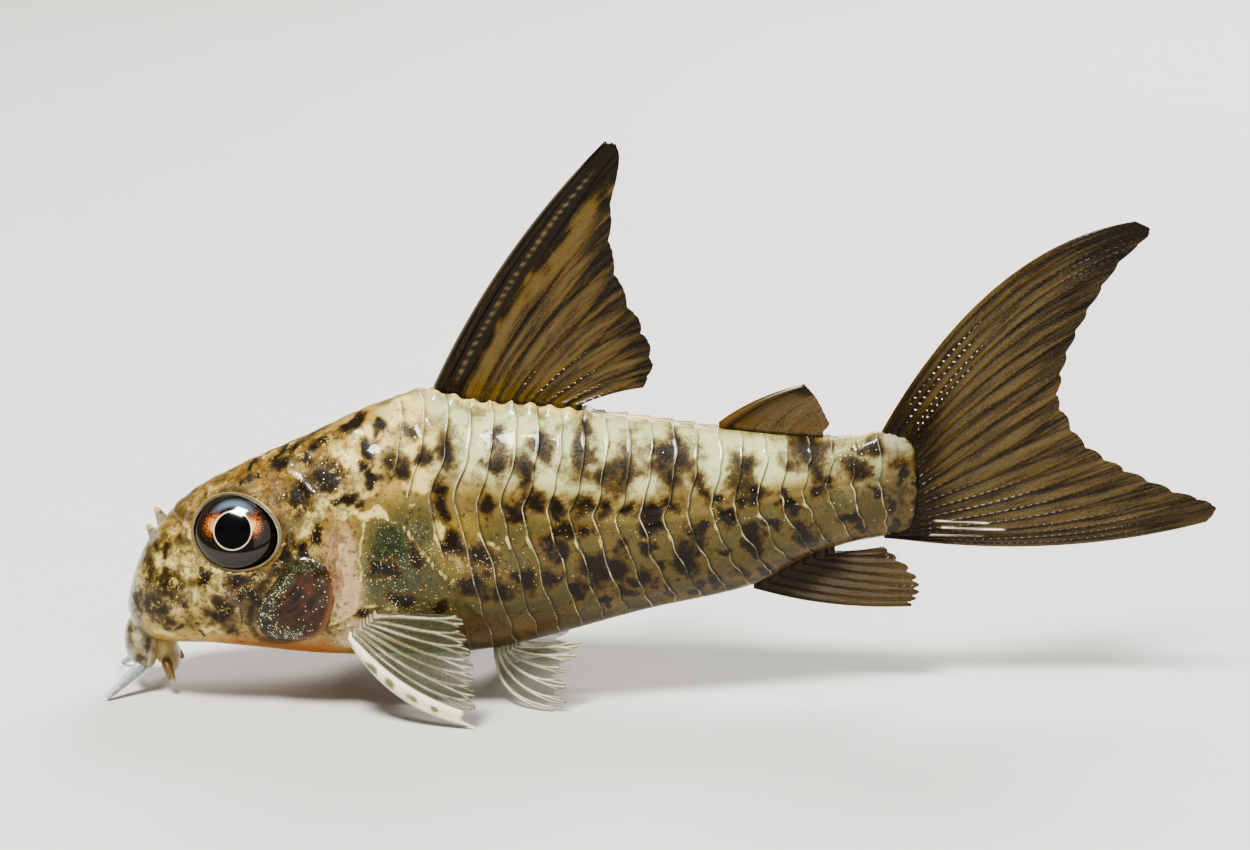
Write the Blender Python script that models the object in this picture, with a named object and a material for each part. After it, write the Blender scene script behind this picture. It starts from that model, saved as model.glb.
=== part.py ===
"""Corydoras catfish: a still, life-size model that rests on its barbels, pectoral fins and pelvic fins.

The snout points along -X, the fish's left side faces -Y and the floor is z = 0.
Sizes are in millimetres and become metres where a mesh is made.
"""

import math

import bmesh
import bpy
from mathutils import Matrix, Vector

MM = 0.001
GAP = 0.3  # clearance between neighbouring pieces
SIDES = (("left", -1), ("right", 1))  # the fish's own left and right, and the sign of y there

# Body stations from the snout to the tail: place, back, belly, seam between the two rows of plates,
# level of the greatest width, half width, and how boxy the section is above and below that level
BODY = (
    (-29.70, 5.10, 4.30, 4.75, 4.70, 0.50, 2.0, 2.0),
    (-29.30, 6.50, 3.80, 5.30, 4.90, 1.75, 2.1, 2.1),
    (-28.80, 7.80, 3.30, 5.80, 5.10, 2.35, 2.2, 2.3),
    (-28.00, 9.10, 3.00, 6.50, 5.40, 2.95, 2.3, 2.6),
    (-26.70, 10.40, 2.95, 7.60, 5.90, 3.50, 2.2, 2.9),
    (-25.00, 11.50, 3.00, 8.50, 6.40, 3.95, 2.05, 3.0),
    (-23.00, 12.50, 2.80, 9.40, 6.80, 4.35, 2.0, 3.0),
    (-19.00, 14.55, 2.45, 10.90, 6.70, 4.90, 2.0, 3.0),
    (-16.00, 16.05, 2.40, 11.80, 7.00, 5.15, 1.9, 2.85),
    (-13.00, 16.90, 2.35, 12.10, 7.60, 5.20, 1.8, 2.8),
    (-10.00, 16.30, 2.50, 11.80, 8.00, 5.05, 1.8, 2.7),
    (-7.00, 16.10, 3.05, 11.40, 8.40, 4.75, 1.8, 2.6),
    (-1.00, 15.40, 4.60, 10.80, 9.30, 3.90, 1.85, 2.4),
    (5.00, 14.60, 5.90, 11.50, 10.20, 2.85, 1.9, 2.2),
    (8.00, 14.35, 7.50, 11.90, 10.80, 2.30, 1.9, 2.1),
    (10.50, 14.30, 8.30, 12.10, 11.20, 1.80, 2.0, 2.1),
    (12.20, 14.60, 8.60, 12.20, 11.50, 1.35, 2.0, 2.0),
    (13.30, 14.40, 8.80, 12.20, 11.60, 0.90, 2.0, 2.0),
)
AROUND = 14  # points down each side of a ring, from back to belly

# Where the body is parted
HEAD_RINGS = (-29.70, -29.55, -29.25, -28.75, -28.00, -27.00, -25.80, -24.50, -23.20, -21.80, -20.40, -19.00)
HEAD_END = -17.30
GIRDLE_RINGS = (-16.10, -15.30)
PLATE_START = -14.60
PLATE_PITCH = 1.25
PLATES_FRONT = 9
PLATES_REAR = 9
PLATES_STALK = 4
STALK_END = 13.20
PLATE_STEP = 0.10  # length of the step down behind a plate
PLATE_RISE = 0.20  # height of a plate's rear edge over the next plate
SEAM = 0.40  # turn of the seam between the two rows of plates
SEAM_WIDE = 0.018
PLATES_FROM, PLATES_TO = 0.05, 0.84  # turns of the upper and lower ends of the plates
FULL_DEPTH = 14.0  # depth of the body where the plates sweep as sweep() says
TAIL_FROM, TAIL_ROUND = 9.5, 0.65  # where the plates start to round out, and how far the stalk's end does

EYE_PLACE = (-23.22, 3.15, 9.95)
EYE_SIZE = (2.30, 0.95, 2.12)
EYE_TURN = math.radians(8)
EYE_TILT = math.radians(30)
RIM_SIZE = (2.72, 2.18)  # half its length and half its height, seen from the side
RIM_SECTION = 0.34

COVER_MIDDLE = (-20.05, 6.25)
COVER_SIZE = (2.05, 2.45)
COVER_LEAN = 0.42
COVER_OUT, COVER_IN = 0.30, 0.75
POCKET_OUT = 1.2  # how far the cutter of the gill cover's pocket reaches out of the head

LIP_MIDDLE, LIP_SIZE = (-29.02, 0, 2.75), (1.00, 2.00, 1.60)
FLAP_MIDDLE, FLAP_SIZE = (-27.45, 0, 1.62), (0.48, 1.10, 0.98)
UPPER_BARBEL = ((-29.12, 1.90, 1.28), (-29.88, 2.42, 0.74), (-30.70, 3.05, 0.13))
LOWER_BARBEL = ((-27.42, 1.62, 1.45), (-27.25, 2.12, 1.05), (-27.05, 2.25, 0.45))
LOBE = ((-28.70, 1.05, 2.60), (-28.78, 1.45, 1.95), (-28.90, 1.72, 1.50))
LOBE_THICK = 1.50
BARBEL_THICK, BARBEL_TIP = 0.60, 0.26
NOSTRIL_FLAP = ((-27.60, 1.55, 8.40), (-27.95, 1.60, 9.15), (-28.30, 1.68, 9.80))
FLAP_ROOT, FLAP_TIP = 1.00, 0.50
NOSTRIL_PIT = (-26.70, 1.50, 9.95)
PIT_SIZE = (0.45, 0.28, 0.28)

RAY_HALF, MEMBRANE_HALF, TIP_HALF = 0.38, 0.26, 0.13  # half thicknesses of the fins
SPINE_HALF = 0.50

SKIN = (0.62, 0.55, 0.42)
HEAD_SKIN = (0.52, 0.44, 0.33)
COVER_SKIN = (0.20, 0.16, 0.12)
EYE_COLOUR = (0.02, 0.015, 0.01)
FIN_CLEAR = (0.45, 0.40, 0.30)
FIN_DARK = (0.13, 0.09, 0.06)
BARBEL_COLOUR = (0.42, 0.45, 0.45)


def read(rows, at):
    """The other columns of a table at one value of its first column, along a smooth curve through the rows."""
    last = len(rows) - 1
    low = max(0, min(last - 1, sum(row[0] <= at for row in rows) - 1))
    span = rows[low + 1][0] - rows[low][0]
    part = max(0.0, min(1.0, (at - rows[low][0]) / span))

    def slope(row, column):
        before, after = rows[max(row - 1, 0)], rows[min(row + 1, last)]
        return (after[column] - before[column]) / (after[0] - before[0])

    found = []
    for column in range(1, len(rows[0])):
        start, end = rows[low][column], rows[low + 1][column]
        rise = 3 * part**2 - 2 * part**3
        leave = part * (1 - part) ** 2 * span * slope(low, column)
        arrive = part**2 * (part - 1) * span * slope(low + 1, column)
        found.append(start + (end - start) * rise + leave + arrive)
    return found


def height_to_angle(height, top, belly, level, above, below):
    """The angle round the section, from 0 on the back to pi under the belly, of a height on the skin."""
    if height >= level:
        return math.acos(((height - level) / (top - level)) ** (above / 2))
    return math.pi - math.acos(((level - height) / (level - belly)) ** (below / 2))


def skin(x, turn, side, lift=0.0):
    """A point of the skin. turn is 0 on the back, SEAM on the seam and 1 under the belly."""
    top, belly, seam, level, half, above, below = read(BODY, x)
    seam_angle = height_to_angle(seam, top, belly, level, above, below)
    if turn < SEAM:
        angle = seam_angle * turn / SEAM
    else:
        angle = seam_angle + (math.pi - seam_angle) * (turn - SEAM) / (1 - SEAM)
    upper = angle < math.pi / 2
    power = 2 / (above if upper else below)
    rise = top - level if upper else level - belly
    y = 0.0 if turn in (0, 1) else half * math.sin(angle) ** power
    z = math.copysign(rise * abs(math.cos(angle)) ** power, math.cos(angle))
    stretch = 1 + lift / max(math.hypot(y, z), GAP)
    return Vector((x, side * y * stretch, level + z * stretch))


def side_depth(x, height):
    """Half width of the body at a height."""
    top, belly, _, level, half, above, below = read(BODY, x)
    share = (height - level) / (top - level) if height > level else (level - height) / (level - belly)
    power = above if height > level else below
    return half * max(0.0, 1 - min(share, 1.0) ** power) ** (1 / power)


def back(x):
    return read(BODY, x)[0]


def belly(x):
    return read(BODY, x)[1]


def sweep(x, turn):
    """How far back the edge of a plate lies at a turn: bowed above the seam, swept back below it.

    Towards the end of the stalk the edges turn into one round curve.
    """
    tall = (back(x) - belly(x)) / FULL_DEPTH
    if turn < SEAM:
        part = turn / SEAM
        swept = tall * (0.45 * math.sin(math.pi * part) - 0.5 * part**4)
    else:
        part = min(1.0, (turn - SEAM) / (PLATES_TO - SEAM))
        swept = tall * (2.1 * math.sin(math.pi / 2 * part) - 0.5)
    share = max(0.0, min(1.0, (x - TAIL_FROM) / (STALK_END - TAIL_FROM)))
    return swept * (1 - share) + TAIL_ROUND * math.sin(math.pi * turn) * share


def ring_turns():
    """Turns of a ring's points, with a narrow groove at the seam."""
    upper = round(AROUND * SEAM)
    lower = AROUND - upper
    turns = [(SEAM - SEAM_WIDE) * k / upper for k in range(upper + 1)]
    turns.append(SEAM)
    start = SEAM + SEAM_WIDE
    return turns + [start + (1 - start) * k / lower for k in range(lower + 1)]


def lift_at(turn, lift):
    """A plate's height at a turn: none in the seam, on the back's mid line and under the belly."""
    if turn == SEAM or not PLATES_FROM < turn < PLATES_TO:
        return 0.0
    return lift


def add_ring(bm, x, swept, lift):
    """One closed ring of the body as two lists of points, for the left and the right side."""
    turns = ring_turns()
    rows = []
    for side in (-1, 1):
        rows.append([])
        for turn in turns:
            if side == 1 and turn in (0, 1):
                rows[1].append(rows[0][turns.index(turn)])
                continue
            place = x + swept * sweep(x, turn)
            rows[-1].append(bm.verts.new(skin(place, turn, side, lift_at(turn, lift)) * MM))
    return rows


def close_ring(bm, ring):
    """A cap of strips from the left side to the right, so that it keeps the sweep of the ring."""
    left, right = ring
    for k in range(len(left) - 1):
        corners = list(dict.fromkeys((left[k], right[k], right[k + 1], left[k + 1])))
        bm.faces.new(corners)


def join_rings(bm, first, second):
    for near, far in zip(first, second):
        for k in range(len(near) - 1):
            bm.faces.new((near[k], near[k + 1], far[k + 1], far[k]))


def body_length(name, rings, paint):
    """One length of the body from rings of (place, share of the sweep, lift)."""
    bm = bmesh.new()
    made = [add_ring(bm, *ring) for ring in rings]
    for first, second in zip(made, made[1:]):
        join_rings(bm, first, second)
    close_ring(bm, made[0])
    close_ring(bm, made[-1])
    return finish(bm, name, paint)


def plates(first, count):
    """Rings for a run of plates that each rise from the front edge to the rear edge."""
    rings = []
    for k in range(first, first + count):
        start = PLATE_START + PLATE_PITCH * k
        rings.append((start, 1.0, 0.0))
        rings.append((start + PLATE_PITCH - PLATE_STEP, 1.0, PLATE_RISE))
    return rings


def paint_for(name, colour, roughness, metallic=0.0):
    """A Principled material."""
    material = bpy.data.materials.new(name)
    material.use_nodes = True
    shader = material.node_tree.nodes["Principled BSDF"]
    shader.inputs["Base Color"].default_value = (*colour, 1.0)
    shader.inputs["Roughness"].default_value = roughness
    shader.inputs["Metallic"].default_value = metallic
    return material


def finish(bm, name, paint):
    """The mesh as a named object with its normals out and round stretches shaded smooth."""
    bmesh.ops.recalc_face_normals(bm, faces=bm.faces)
    mesh = bpy.data.meshes.new(name)
    bm.to_mesh(mesh)
    bm.free()
    mesh.shade_smooth()
    mesh.set_sharp_from_angle(angle=math.radians(40))
    mesh.materials.append(paint)
    made = bpy.data.objects.new(name, mesh)
    bpy.context.scene.collection.objects.link(made)
    return made


def ellipsoid(name, middle, size, paint, frame=None, along=16, round_about=12):
    """A closed ellipsoid whose poles lie on its own Y axis. frame turns it."""
    bm = bmesh.new()
    bmesh.ops.create_uvsphere(bm, u_segments=along, v_segments=round_about, radius=1.0)
    bmesh.ops.rotate(bm, verts=bm.verts, matrix=Matrix.Rotation(math.pi / 2, 3, "X"))
    bmesh.ops.scale(bm, verts=bm.verts, vec=Vector(size) * MM)
    bmesh.ops.transform(bm, verts=bm.verts, matrix=(frame or Matrix.Identity(4)))
    bmesh.ops.translate(bm, verts=bm.verts, vec=Vector(middle) * MM)
    return finish(bm, name, paint)


def eye_rim(side, paint, along=22, round_about=8):
    """A raised ring round the eye that follows the side of the head."""
    bm = bmesh.new()
    loops = []
    for k in range(along):
        angle = 2 * math.pi * k / along
        loop = []
        for m in range(round_about):
            turn = 2 * math.pi * m / round_about
            reach = RIM_SECTION * math.cos(turn)
            x = EYE_PLACE[0] + (RIM_SIZE[0] + reach) * math.cos(angle)
            z = EYE_PLACE[2] + (RIM_SIZE[1] + reach) * math.sin(angle)
            y = side_depth(x, z) + RIM_SECTION * math.sin(turn)
            loop.append(bm.verts.new(Vector((x, side * y, z)) * MM))
        loops.append(loop)
    for k in range(along):
        near, far = loops[k], loops[(k + 1) % along]
        for m in range(round_about):
            n = (m + 1) % round_about
            bm.faces.new((near[m], near[n], far[n], far[m]))
    return finish(bm, "rim", paint)


def tube(name, points, thick_start, thick_end, paint, count=10, sides=8, floor=None):
    """A tapered tube along one smooth curve through three points."""
    start, bend, end = (Vector(p) for p in points)
    control = 2 * bend - (start + end) / 2
    bm = bmesh.new()
    loops = []
    for k in range(count + 1):
        part = k / count
        centre = start * (1 - part) ** 2 + control * (2 * part * (1 - part)) + end * part**2
        along = ((control - start) * (1 - part) + (end - control) * part).normalized()
        across = along.cross(Vector((0, 0, 1))).normalized()
        up = across.cross(along)
        radius = (thick_start + (thick_end - thick_start) * part) / 2
        loop = []
        for m in range(sides):
            turn = 2 * math.pi * (m + 0.5) / sides
            point = centre + radius * (math.cos(turn) * across + math.sin(turn) * up)
            if floor is not None:
                point.z = max(point.z, floor)
            loop.append(bm.verts.new(point * MM))
        loops.append(loop)
    for near, far in zip(loops, loops[1:]):
        for m in range(sides):
            n = (m + 1) % sides
            bm.faces.new((near[m], near[n], far[n], far[m]))
    bm.faces.new(loops[0])
    bm.faces.new(loops[-1])
    return finish(bm, name, paint)


def fan(name, base, tip, bow, columns, rows, paint, floor=None):
    """A closed fin: rays run from base(u) to tip(u) along a curve bent by bow(u).

    columns lists (u, half thickness, reach), so that rays stand out as ridges of the membrane.
    Both faces have the same triangles.
    """
    grid = []
    for u, _, reach in columns:
        start, end = base(u), tip(u)
        control = (start + end) / 2 + bow(u)
        end = start.lerp(end, reach)
        ray = []
        for row in range(rows + 1):
            part = row / rows
            ray.append(start * (1 - part) ** 2 + control * (2 * part * (1 - part)) + end * part**2)
        grid.append(ray)
    last = len(columns) - 1
    bm = bmesh.new()
    faces = ([], [])
    for k in range(last + 1):
        for layer in faces:
            layer.append([])
        for row in range(rows + 1):
            across = grid[min(k + 1, last)][row] - grid[max(k - 1, 0)][row]
            along = grid[k][min(row + 1, rows)] - grid[k][max(row - 1, 0)]
            normal = across.cross(along).normalized()
            taper = max(0.0, row / rows - 0.6) / 0.4
            half = columns[k][1] + (TIP_HALF - columns[k][1]) * taper
            for layer, sign in zip(faces, (1, -1)):
                point = grid[k][row] + normal * half * sign
                if floor is not None:
                    point.z = max(point.z, floor)
                layer[k].append(bm.verts.new(point * MM))
    for layer in faces:
        for k in range(last):
            for row in range(rows):
                a, b = layer[k][row], layer[k + 1][row]
                c, d = layer[k + 1][row + 1], layer[k][row + 1]
                bm.faces.new((a, b, c))
                bm.faces.new((a, c, d))
    top, bottom = faces
    for k in range(last):
        for row in (0, rows):
            bm.faces.new((top[k][row], top[k + 1][row], bottom[k + 1][row], bottom[k][row]))
    for row in range(rows):
        for k in (0, last):
            bm.faces.new((top[k][row], top[k][row + 1], bottom[k][row + 1], bottom[k][row]))
    return finish(bm, name, paint)


def ray_columns(rays, start=0.0, end=1.0, spine=0.0):
    """Columns for a number of rays with one valley of membrane between neighbours.

    A spine is a ridge of its own ahead of the first ray, and spine is the share of the fin that it takes.
    """
    columns = []
    if spine:
        columns = [(0.0, MEMBRANE_HALF, 1.0), (spine / 2, SPINE_HALF, 1.0), (spine, MEMBRANE_HALF, 1.0)]
        start = spine + (end - spine) / (2 * rays)
    for k in range(2 * rays - 1):
        u = start + (end - start) * k / (2 * rays - 2)
        is_ray = k % 2 == 0
        columns.append((u, RAY_HALF if is_ray else MEMBRANE_HALF, 1.0 if is_ray else 0.97))
    return columns


def curve(rows):
    """A function of u that reads a table of (u, x, z) or (u, x, y, z)."""

    def at(u):
        found = read(rows, u)
        return Vector((found[0], 0.0, found[1])) if len(found) == 2 else Vector(found)

    return at


def mirrored(function, side):
    """The same curve on the fish's other side. Tables are written for the positive side."""

    def at(u):
        point = function(u)
        return Vector((point.x, side * point.y, point.z))

    return at


def boolean(target, others, operation):
    """Joins or cuts with closed meshes, applies it, and removes them."""
    group = bpy.data.collections.new(target.name + "_pieces")
    for other in others:
        group.objects.link(other)
    modifier = target.modifiers.new(operation.title(), "BOOLEAN")
    modifier.operation = operation
    modifier.operand_type = "COLLECTION"
    modifier.collection = group
    modifier.solver = "EXACT"
    graph = bpy.context.evaluated_depsgraph_get()
    mesh = bpy.data.meshes.new_from_object(target.evaluated_get(graph))
    target.modifiers.clear()
    target.data = mesh
    for other in others:
        bpy.data.objects.remove(other)
    bpy.data.collections.remove(group)


def keep_largest(target):
    """Keeps the largest closed surface of a mesh."""
    bm = bmesh.new()
    bm.from_mesh(target.data)
    left = set(bm.verts)
    shells = []
    while left:
        seed = left.pop()
        shell, edge = {seed}, [seed]
        while edge:
            for link in edge.pop().link_edges:
                for vert in link.verts:
                    if vert not in shell:
                        shell.add(vert)
                        edge.append(vert)
        left -= shell
        shells.append(shell)
    largest = max(shells, key=len)
    bmesh.ops.delete(bm, geom=[v for v in bm.verts if v not in largest], context="VERTS")
    bm.to_mesh(target.data)
    bm.free()


def eye_frame(side):
    """Turns an eye's own Y axis outwards, a little forwards and up."""
    return Matrix.Rotation(side * EYE_TURN, 4, "Z") @ Matrix.Rotation(side * EYE_TILT, 4, "X")


def beside(place, side):
    return Vector((place[0], side * place[1], place[2]))


def cover_piece(name, side, wider, outside, inside, paint):
    """A plate of the gill cover's outline that follows the side of the head."""
    rounds, steps = 3, 16
    bm = bmesh.new()
    layers = []
    for reach, dome in ((outside, 0.12), (-inside, 0.0)):
        layer = []
        for ring in range(1, rounds + 1):
            share = ring / rounds
            loop = []
            for k in range(steps):
                angle = 2 * math.pi * k / steps
                up = (COVER_SIZE[1] + wider) * share * math.sin(angle)
                x = COVER_MIDDLE[0] + (COVER_SIZE[0] + wider) * share * math.cos(angle) + COVER_LEAN * up
                z = COVER_MIDDLE[1] + up
                y = side_depth(x, z) + reach + dome * (1 - share**2)
                loop.append(bm.verts.new(Vector((x, side * y, z)) * MM))
            layer.append(loop)
        y = side_depth(*COVER_MIDDLE) + reach + dome
        middle = bm.verts.new(Vector((COVER_MIDDLE[0], side * y, COVER_MIDDLE[1])) * MM)
        for k in range(steps):
            bm.faces.new((middle, layer[0][k], layer[0][(k + 1) % steps]))
            for near, far in zip(layer, layer[1:]):
                n = (k + 1) % steps
                bm.faces.new((near[k], near[n], far[n]))
                bm.faces.new((near[k], far[n], far[k]))
        layers.append(layer)
    for k in range(steps):
        n = (k + 1) % steps
        bm.faces.new((layers[0][-1][k], layers[0][-1][n], layers[1][-1][n], layers[1][-1][k]))
    return finish(bm, name, paint)


def make_head(paint):
    """Snout, cheeks, upper lip, nostrils and eye rims, with sockets and with pockets for the gill covers."""
    rings = [(x, 0.0, 0.0) for x in HEAD_RINGS] + [(HEAD_END - GAP, 0.0, 0.0)]
    head = body_length("head", rings, paint)
    added = [ellipsoid("lip", LIP_MIDDLE, LIP_SIZE, paint)]
    cutters = []
    for _, side in SIDES:
        added.append(eye_rim(side, paint))
        flap = [beside(p, side) for p in NOSTRIL_FLAP]
        added.append(tube("nostril", flap, FLAP_ROOT, FLAP_TIP, paint, count=3))
        lobe = [beside(p, side) for p in LOBE]
        added.append(tube("lobe", lobe, LOBE_THICK, BARBEL_THICK, paint, count=4))
        socket = [size + GAP for size in EYE_SIZE]
        cutters.append(ellipsoid("socket", beside(EYE_PLACE, side), socket, paint, eye_frame(side)))
        cutters.append(ellipsoid("pit", beside(NOSTRIL_PIT, side), PIT_SIZE, paint, along=8, round_about=6))
        cutters.append(cover_piece("pocket", side, GAP, POCKET_OUT, COVER_IN + GAP, paint))
    boolean(head, added, "UNION")
    boolean(head, cutters, "DIFFERENCE")
    keep_largest(head)


def make_body(paint):
    """The trunk in two lengths and the tail stalk, parted along the edges of plates."""
    girdle = [(HEAD_END, 0.0, 0.0)]
    share = 1 / (len(GIRDLE_RINGS) + 1)
    for k, x in enumerate(GIRDLE_RINGS):
        girdle.append((x, share * (k + 1), 0.0))
    lengths = (
        ("trunk_front", girdle, 0, PLATES_FRONT),
        ("trunk_rear", [], PLATES_FRONT, PLATES_REAR),
        ("tail_stalk", [], PLATES_FRONT + PLATES_REAR, PLATES_STALK),
    )
    for name, before, first, count in lengths:
        rings = before + plates(first, count)
        if not before:
            rings[0] = (rings[0][0] + GAP - PLATE_STEP, 1.0, 0.0)
        body_length(name, rings, paint)


def make_eyes(paint):
    for word, side in SIDES:
        ellipsoid("eye_" + word, beside(EYE_PLACE, side), EYE_SIZE, paint, eye_frame(side))


def make_gill_covers(paint):
    for word, side in SIDES:
        cover_piece("gill_cover_" + word, side, 0.0, COVER_OUT, COVER_IN, paint)


def make_mouth(skin_paint, barbel_paint):
    """The lower lip's flap and the four barbels."""
    ellipsoid("lower_lip", FLAP_MIDDLE, FLAP_SIZE, skin_paint, along=12, round_about=10)
    for word, side in SIDES:
        upper = [beside(p, side) for p in UPPER_BARBEL]
        tube("barbel_upper_" + word, upper, BARBEL_THICK, BARBEL_TIP, barbel_paint, floor=0.0)
        lower = [beside(p, side) for p in LOWER_BARBEL]
        tube("barbel_lower_" + word, lower, BARBEL_THICK, BARBEL_TIP, barbel_paint, count=6)


def make_dorsal_fin(paint):
    base_front, base_rear = -12.55, -4.40

    def base(u):
        x = base_front + (base_rear - base_front) * u
        return Vector((x, 0, back(x) + PLATE_RISE + GAP))

    tip = curve((
        (0.00, -3.15, 30.80),
        (0.14, -2.30, 30.60),
        (0.28, -2.75, 27.00),
        (0.43, -2.70, 24.60),
        (0.57, -1.95, 22.20),
        (0.71, -1.00, 20.40),
        (0.86, -0.50, 18.50),
        (1.00, -1.00, 17.10),
    ))
    bow = curve(((0.0, -1.2, 0.8), (1.0, 0.0, 0.25)))
    fan("dorsal_fin", base, tip, bow, ray_columns(7, spine=0.07), 7, paint)


def make_adipose_fin(paint):
    def base(u):
        x = 3.10 + 5.75 * u
        return Vector((x, 0, back(x) + PLATE_RISE + GAP))

    tip = curve(((0.0, 7.80, 17.30), (0.5, 8.40, 16.60), (0.8, 8.90, 15.70), (1.0, 9.20, 15.05)))
    bow = curve(((0.0, 0.3, 0.15), (1.0, 0.0, 0.0)))
    fan("adipose_fin", base, tip, bow, ray_columns(3, spine=0.12), 4, paint)


def make_anal_fin(paint):
    def base(u):
        x = 5.10 + 4.50 * u
        return Vector((x, 0, belly(x) - PLATE_RISE - GAP))

    tip = curve(((0.0, 13.90, 4.50), (0.3, 14.35, 5.30), (0.6, 14.15, 6.30), (0.8, 13.30, 7.20), (1.0, 12.30, 8.00)))
    bow = curve(((0.0, -0.5, -0.75), (1.0, 0.2, -0.1)))
    fan("anal_fin", base, tip, bow, ray_columns(7), 5, paint)


def tail_base(u):
    """The line just off the end of the tail stalk, from a little way along its back to a little way along its belly."""
    end = STALK_END
    if u < 0.1:
        x = end - 1.1 * (1 - u / 0.1)
        return Vector((x, 0, back(x) + PLATE_RISE + GAP))
    if u > 0.92:
        x = end - 0.9 * (u - 0.92) / 0.08
        return Vector((x, 0, belly(x) - PLATE_RISE - GAP))
    turn = (u - 0.1) / 0.82
    edge = skin(end, turn, 1)
    return Vector((end + sweep(end, turn) + GAP, 0, edge.z))


def make_tail_fin(paint):
    """Two lobes, parted along the ray that runs to the fork."""
    tip = curve((
        (0.00, 25.60, 26.40),
        (0.07, 26.45, 25.80),
        (0.16, 24.90, 24.10),
        (0.27, 23.30, 21.50),
        (0.38, 22.20, 19.00),
        (0.48, 21.80, 16.80),
        (0.52, 21.90, 16.20),
        (0.62, 23.20, 14.10),
        (0.73, 25.40, 12.60),
        (0.84, 28.10, 11.35),
        (0.94, 30.60, 10.35),
        (1.00, 30.30, 9.45),
    ))
    bow = curve(((0.0, -1.2, 4.6), (0.25, -0.5, 1.6), (0.5, 0.0, 0.0), (0.75, 0.3, -0.6), (1.0, 0.6, -1.9)))
    middle, half_split = 0.50, 0.022
    upper = ray_columns(8, 0.0, middle - half_split)
    lower = ray_columns(8, middle + half_split, 1.0)
    fan("caudal_fin_upper", tail_base, tip, bow, upper, 7, paint)
    fan("caudal_fin_lower", tail_base, tip, bow, lower, 7, paint)


def make_pectoral_fins(paint):
    """The spine leads low and outwards, and the tip of the first ray rests on the floor."""
    base = curve(((0.0, -17.10, 5.45, 4.30), (1.0, -15.50, 5.75, 5.85)))
    tip = curve((
        (0.00, -10.06, 7.70, 0.10),
        (0.25, -10.06, 7.55, 1.10),
        (0.45, -10.16, 7.25, 2.40),
        (0.62, -10.25, 6.95, 3.50),
        (0.80, -10.55, 6.60, 4.70),
        (1.00, -10.80, 6.30, 6.00),
    ))
    bow = curve(((0.0, -1.2, 0.5, -1.45), (0.3, -0.5, 0.3, -0.9), (1.0, 0.0, 0.0, 0.2)))
    for word, side in SIDES:
        shape = [mirrored(function, side) for function in (base, tip, bow)]
        fan("pectoral_fin_" + word, *shape, ray_columns(6, spine=0.20), 7, paint, floor=0.0)


def make_pelvic_fins(paint):
    base = curve(((0.0, -9.20, 2.30, 2.10), (1.0, -7.80, 2.65, 2.95)))
    tip = curve((
        (0.00, -6.00, 4.90, 0.10),
        (0.25, -5.20, 4.95, 0.60),
        (0.50, -5.25, 4.75, 1.90),
        (0.75, -4.85, 4.55, 2.80),
        (1.00, -4.36, 4.10, 3.90),
    ))
    bow = curve(((0.0, -1.5, 0.4, -0.9), (1.0, 0.0, 0.3, 0.0)))
    for word, side in SIDES:
        shape = [mirrored(function, side) for function in (base, tip, bow)]
        fan("pelvic_fin_" + word, *shape, ray_columns(5), 5, paint, floor=0.0)


def main():
    for old in list(bpy.data.objects):
        bpy.data.objects.remove(old)
    head_paint = paint_for("head_skin", HEAD_SKIN, 0.35)
    body_paint = paint_for("plated_skin", SKIN, 0.35)
    barbel_paint = paint_for("barbel_skin", BARBEL_COLOUR, 0.30)
    clear_paint = paint_for("clear_fin", FIN_CLEAR, 0.35)
    make_head(head_paint)
    make_gill_covers(paint_for("gill_cover_skin", COVER_SKIN, 0.25, 0.3))
    make_eyes(paint_for("wet_eye", EYE_COLOUR, 0.05))
    make_mouth(head_paint, barbel_paint)
    make_body(body_paint)
    make_dorsal_fin(paint_for("dark_fin", FIN_DARK, 0.35))
    make_adipose_fin(clear_paint)
    make_anal_fin(clear_paint)
    make_tail_fin(clear_paint)
    make_pectoral_fins(clear_paint)
    make_pelvic_fins(clear_paint)


main()
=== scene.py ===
"""Corydoras catfish, life size: the looks of the still model.

The snout points along -X, the fish's left side faces -Y and the floor is z = 0.
Shapes are worked out in millimetres and become metres where a mesh is made.
"""

import math

import bpy
import numpy as np
from mathutils import Color, Matrix, Vector


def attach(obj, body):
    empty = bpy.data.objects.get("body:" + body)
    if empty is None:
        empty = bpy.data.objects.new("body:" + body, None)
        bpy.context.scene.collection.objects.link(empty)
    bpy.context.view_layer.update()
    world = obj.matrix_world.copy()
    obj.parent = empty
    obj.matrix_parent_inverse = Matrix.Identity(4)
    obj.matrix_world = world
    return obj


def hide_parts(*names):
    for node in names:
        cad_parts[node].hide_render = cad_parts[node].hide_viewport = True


bl_info = {
    "name": "Corydoras catfish model",
    "version": (1, 0, 0),
    "blender": (4, 5, 0),
    "location": "3D View > Sidebar > Catfish",
    "description": "Builds the painted skin, eyes, barbels and fins of a life-size corydoras catfish",
    "category": "Object",
}

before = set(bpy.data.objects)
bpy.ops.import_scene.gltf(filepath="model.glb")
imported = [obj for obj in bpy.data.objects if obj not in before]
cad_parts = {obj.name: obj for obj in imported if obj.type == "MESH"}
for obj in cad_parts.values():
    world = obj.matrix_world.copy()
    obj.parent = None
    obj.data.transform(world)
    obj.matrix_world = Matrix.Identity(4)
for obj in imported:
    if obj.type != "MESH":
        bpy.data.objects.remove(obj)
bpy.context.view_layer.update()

MM = 0.001
MM_PER_M = 1000
TUBE_RINGS, TUBE_SIDES = 44, 29
SIDES = (("left", -1), ("right", 1))  # the fish's own left and right, and the sign of y there
BODY_NAME = "root"

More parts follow.
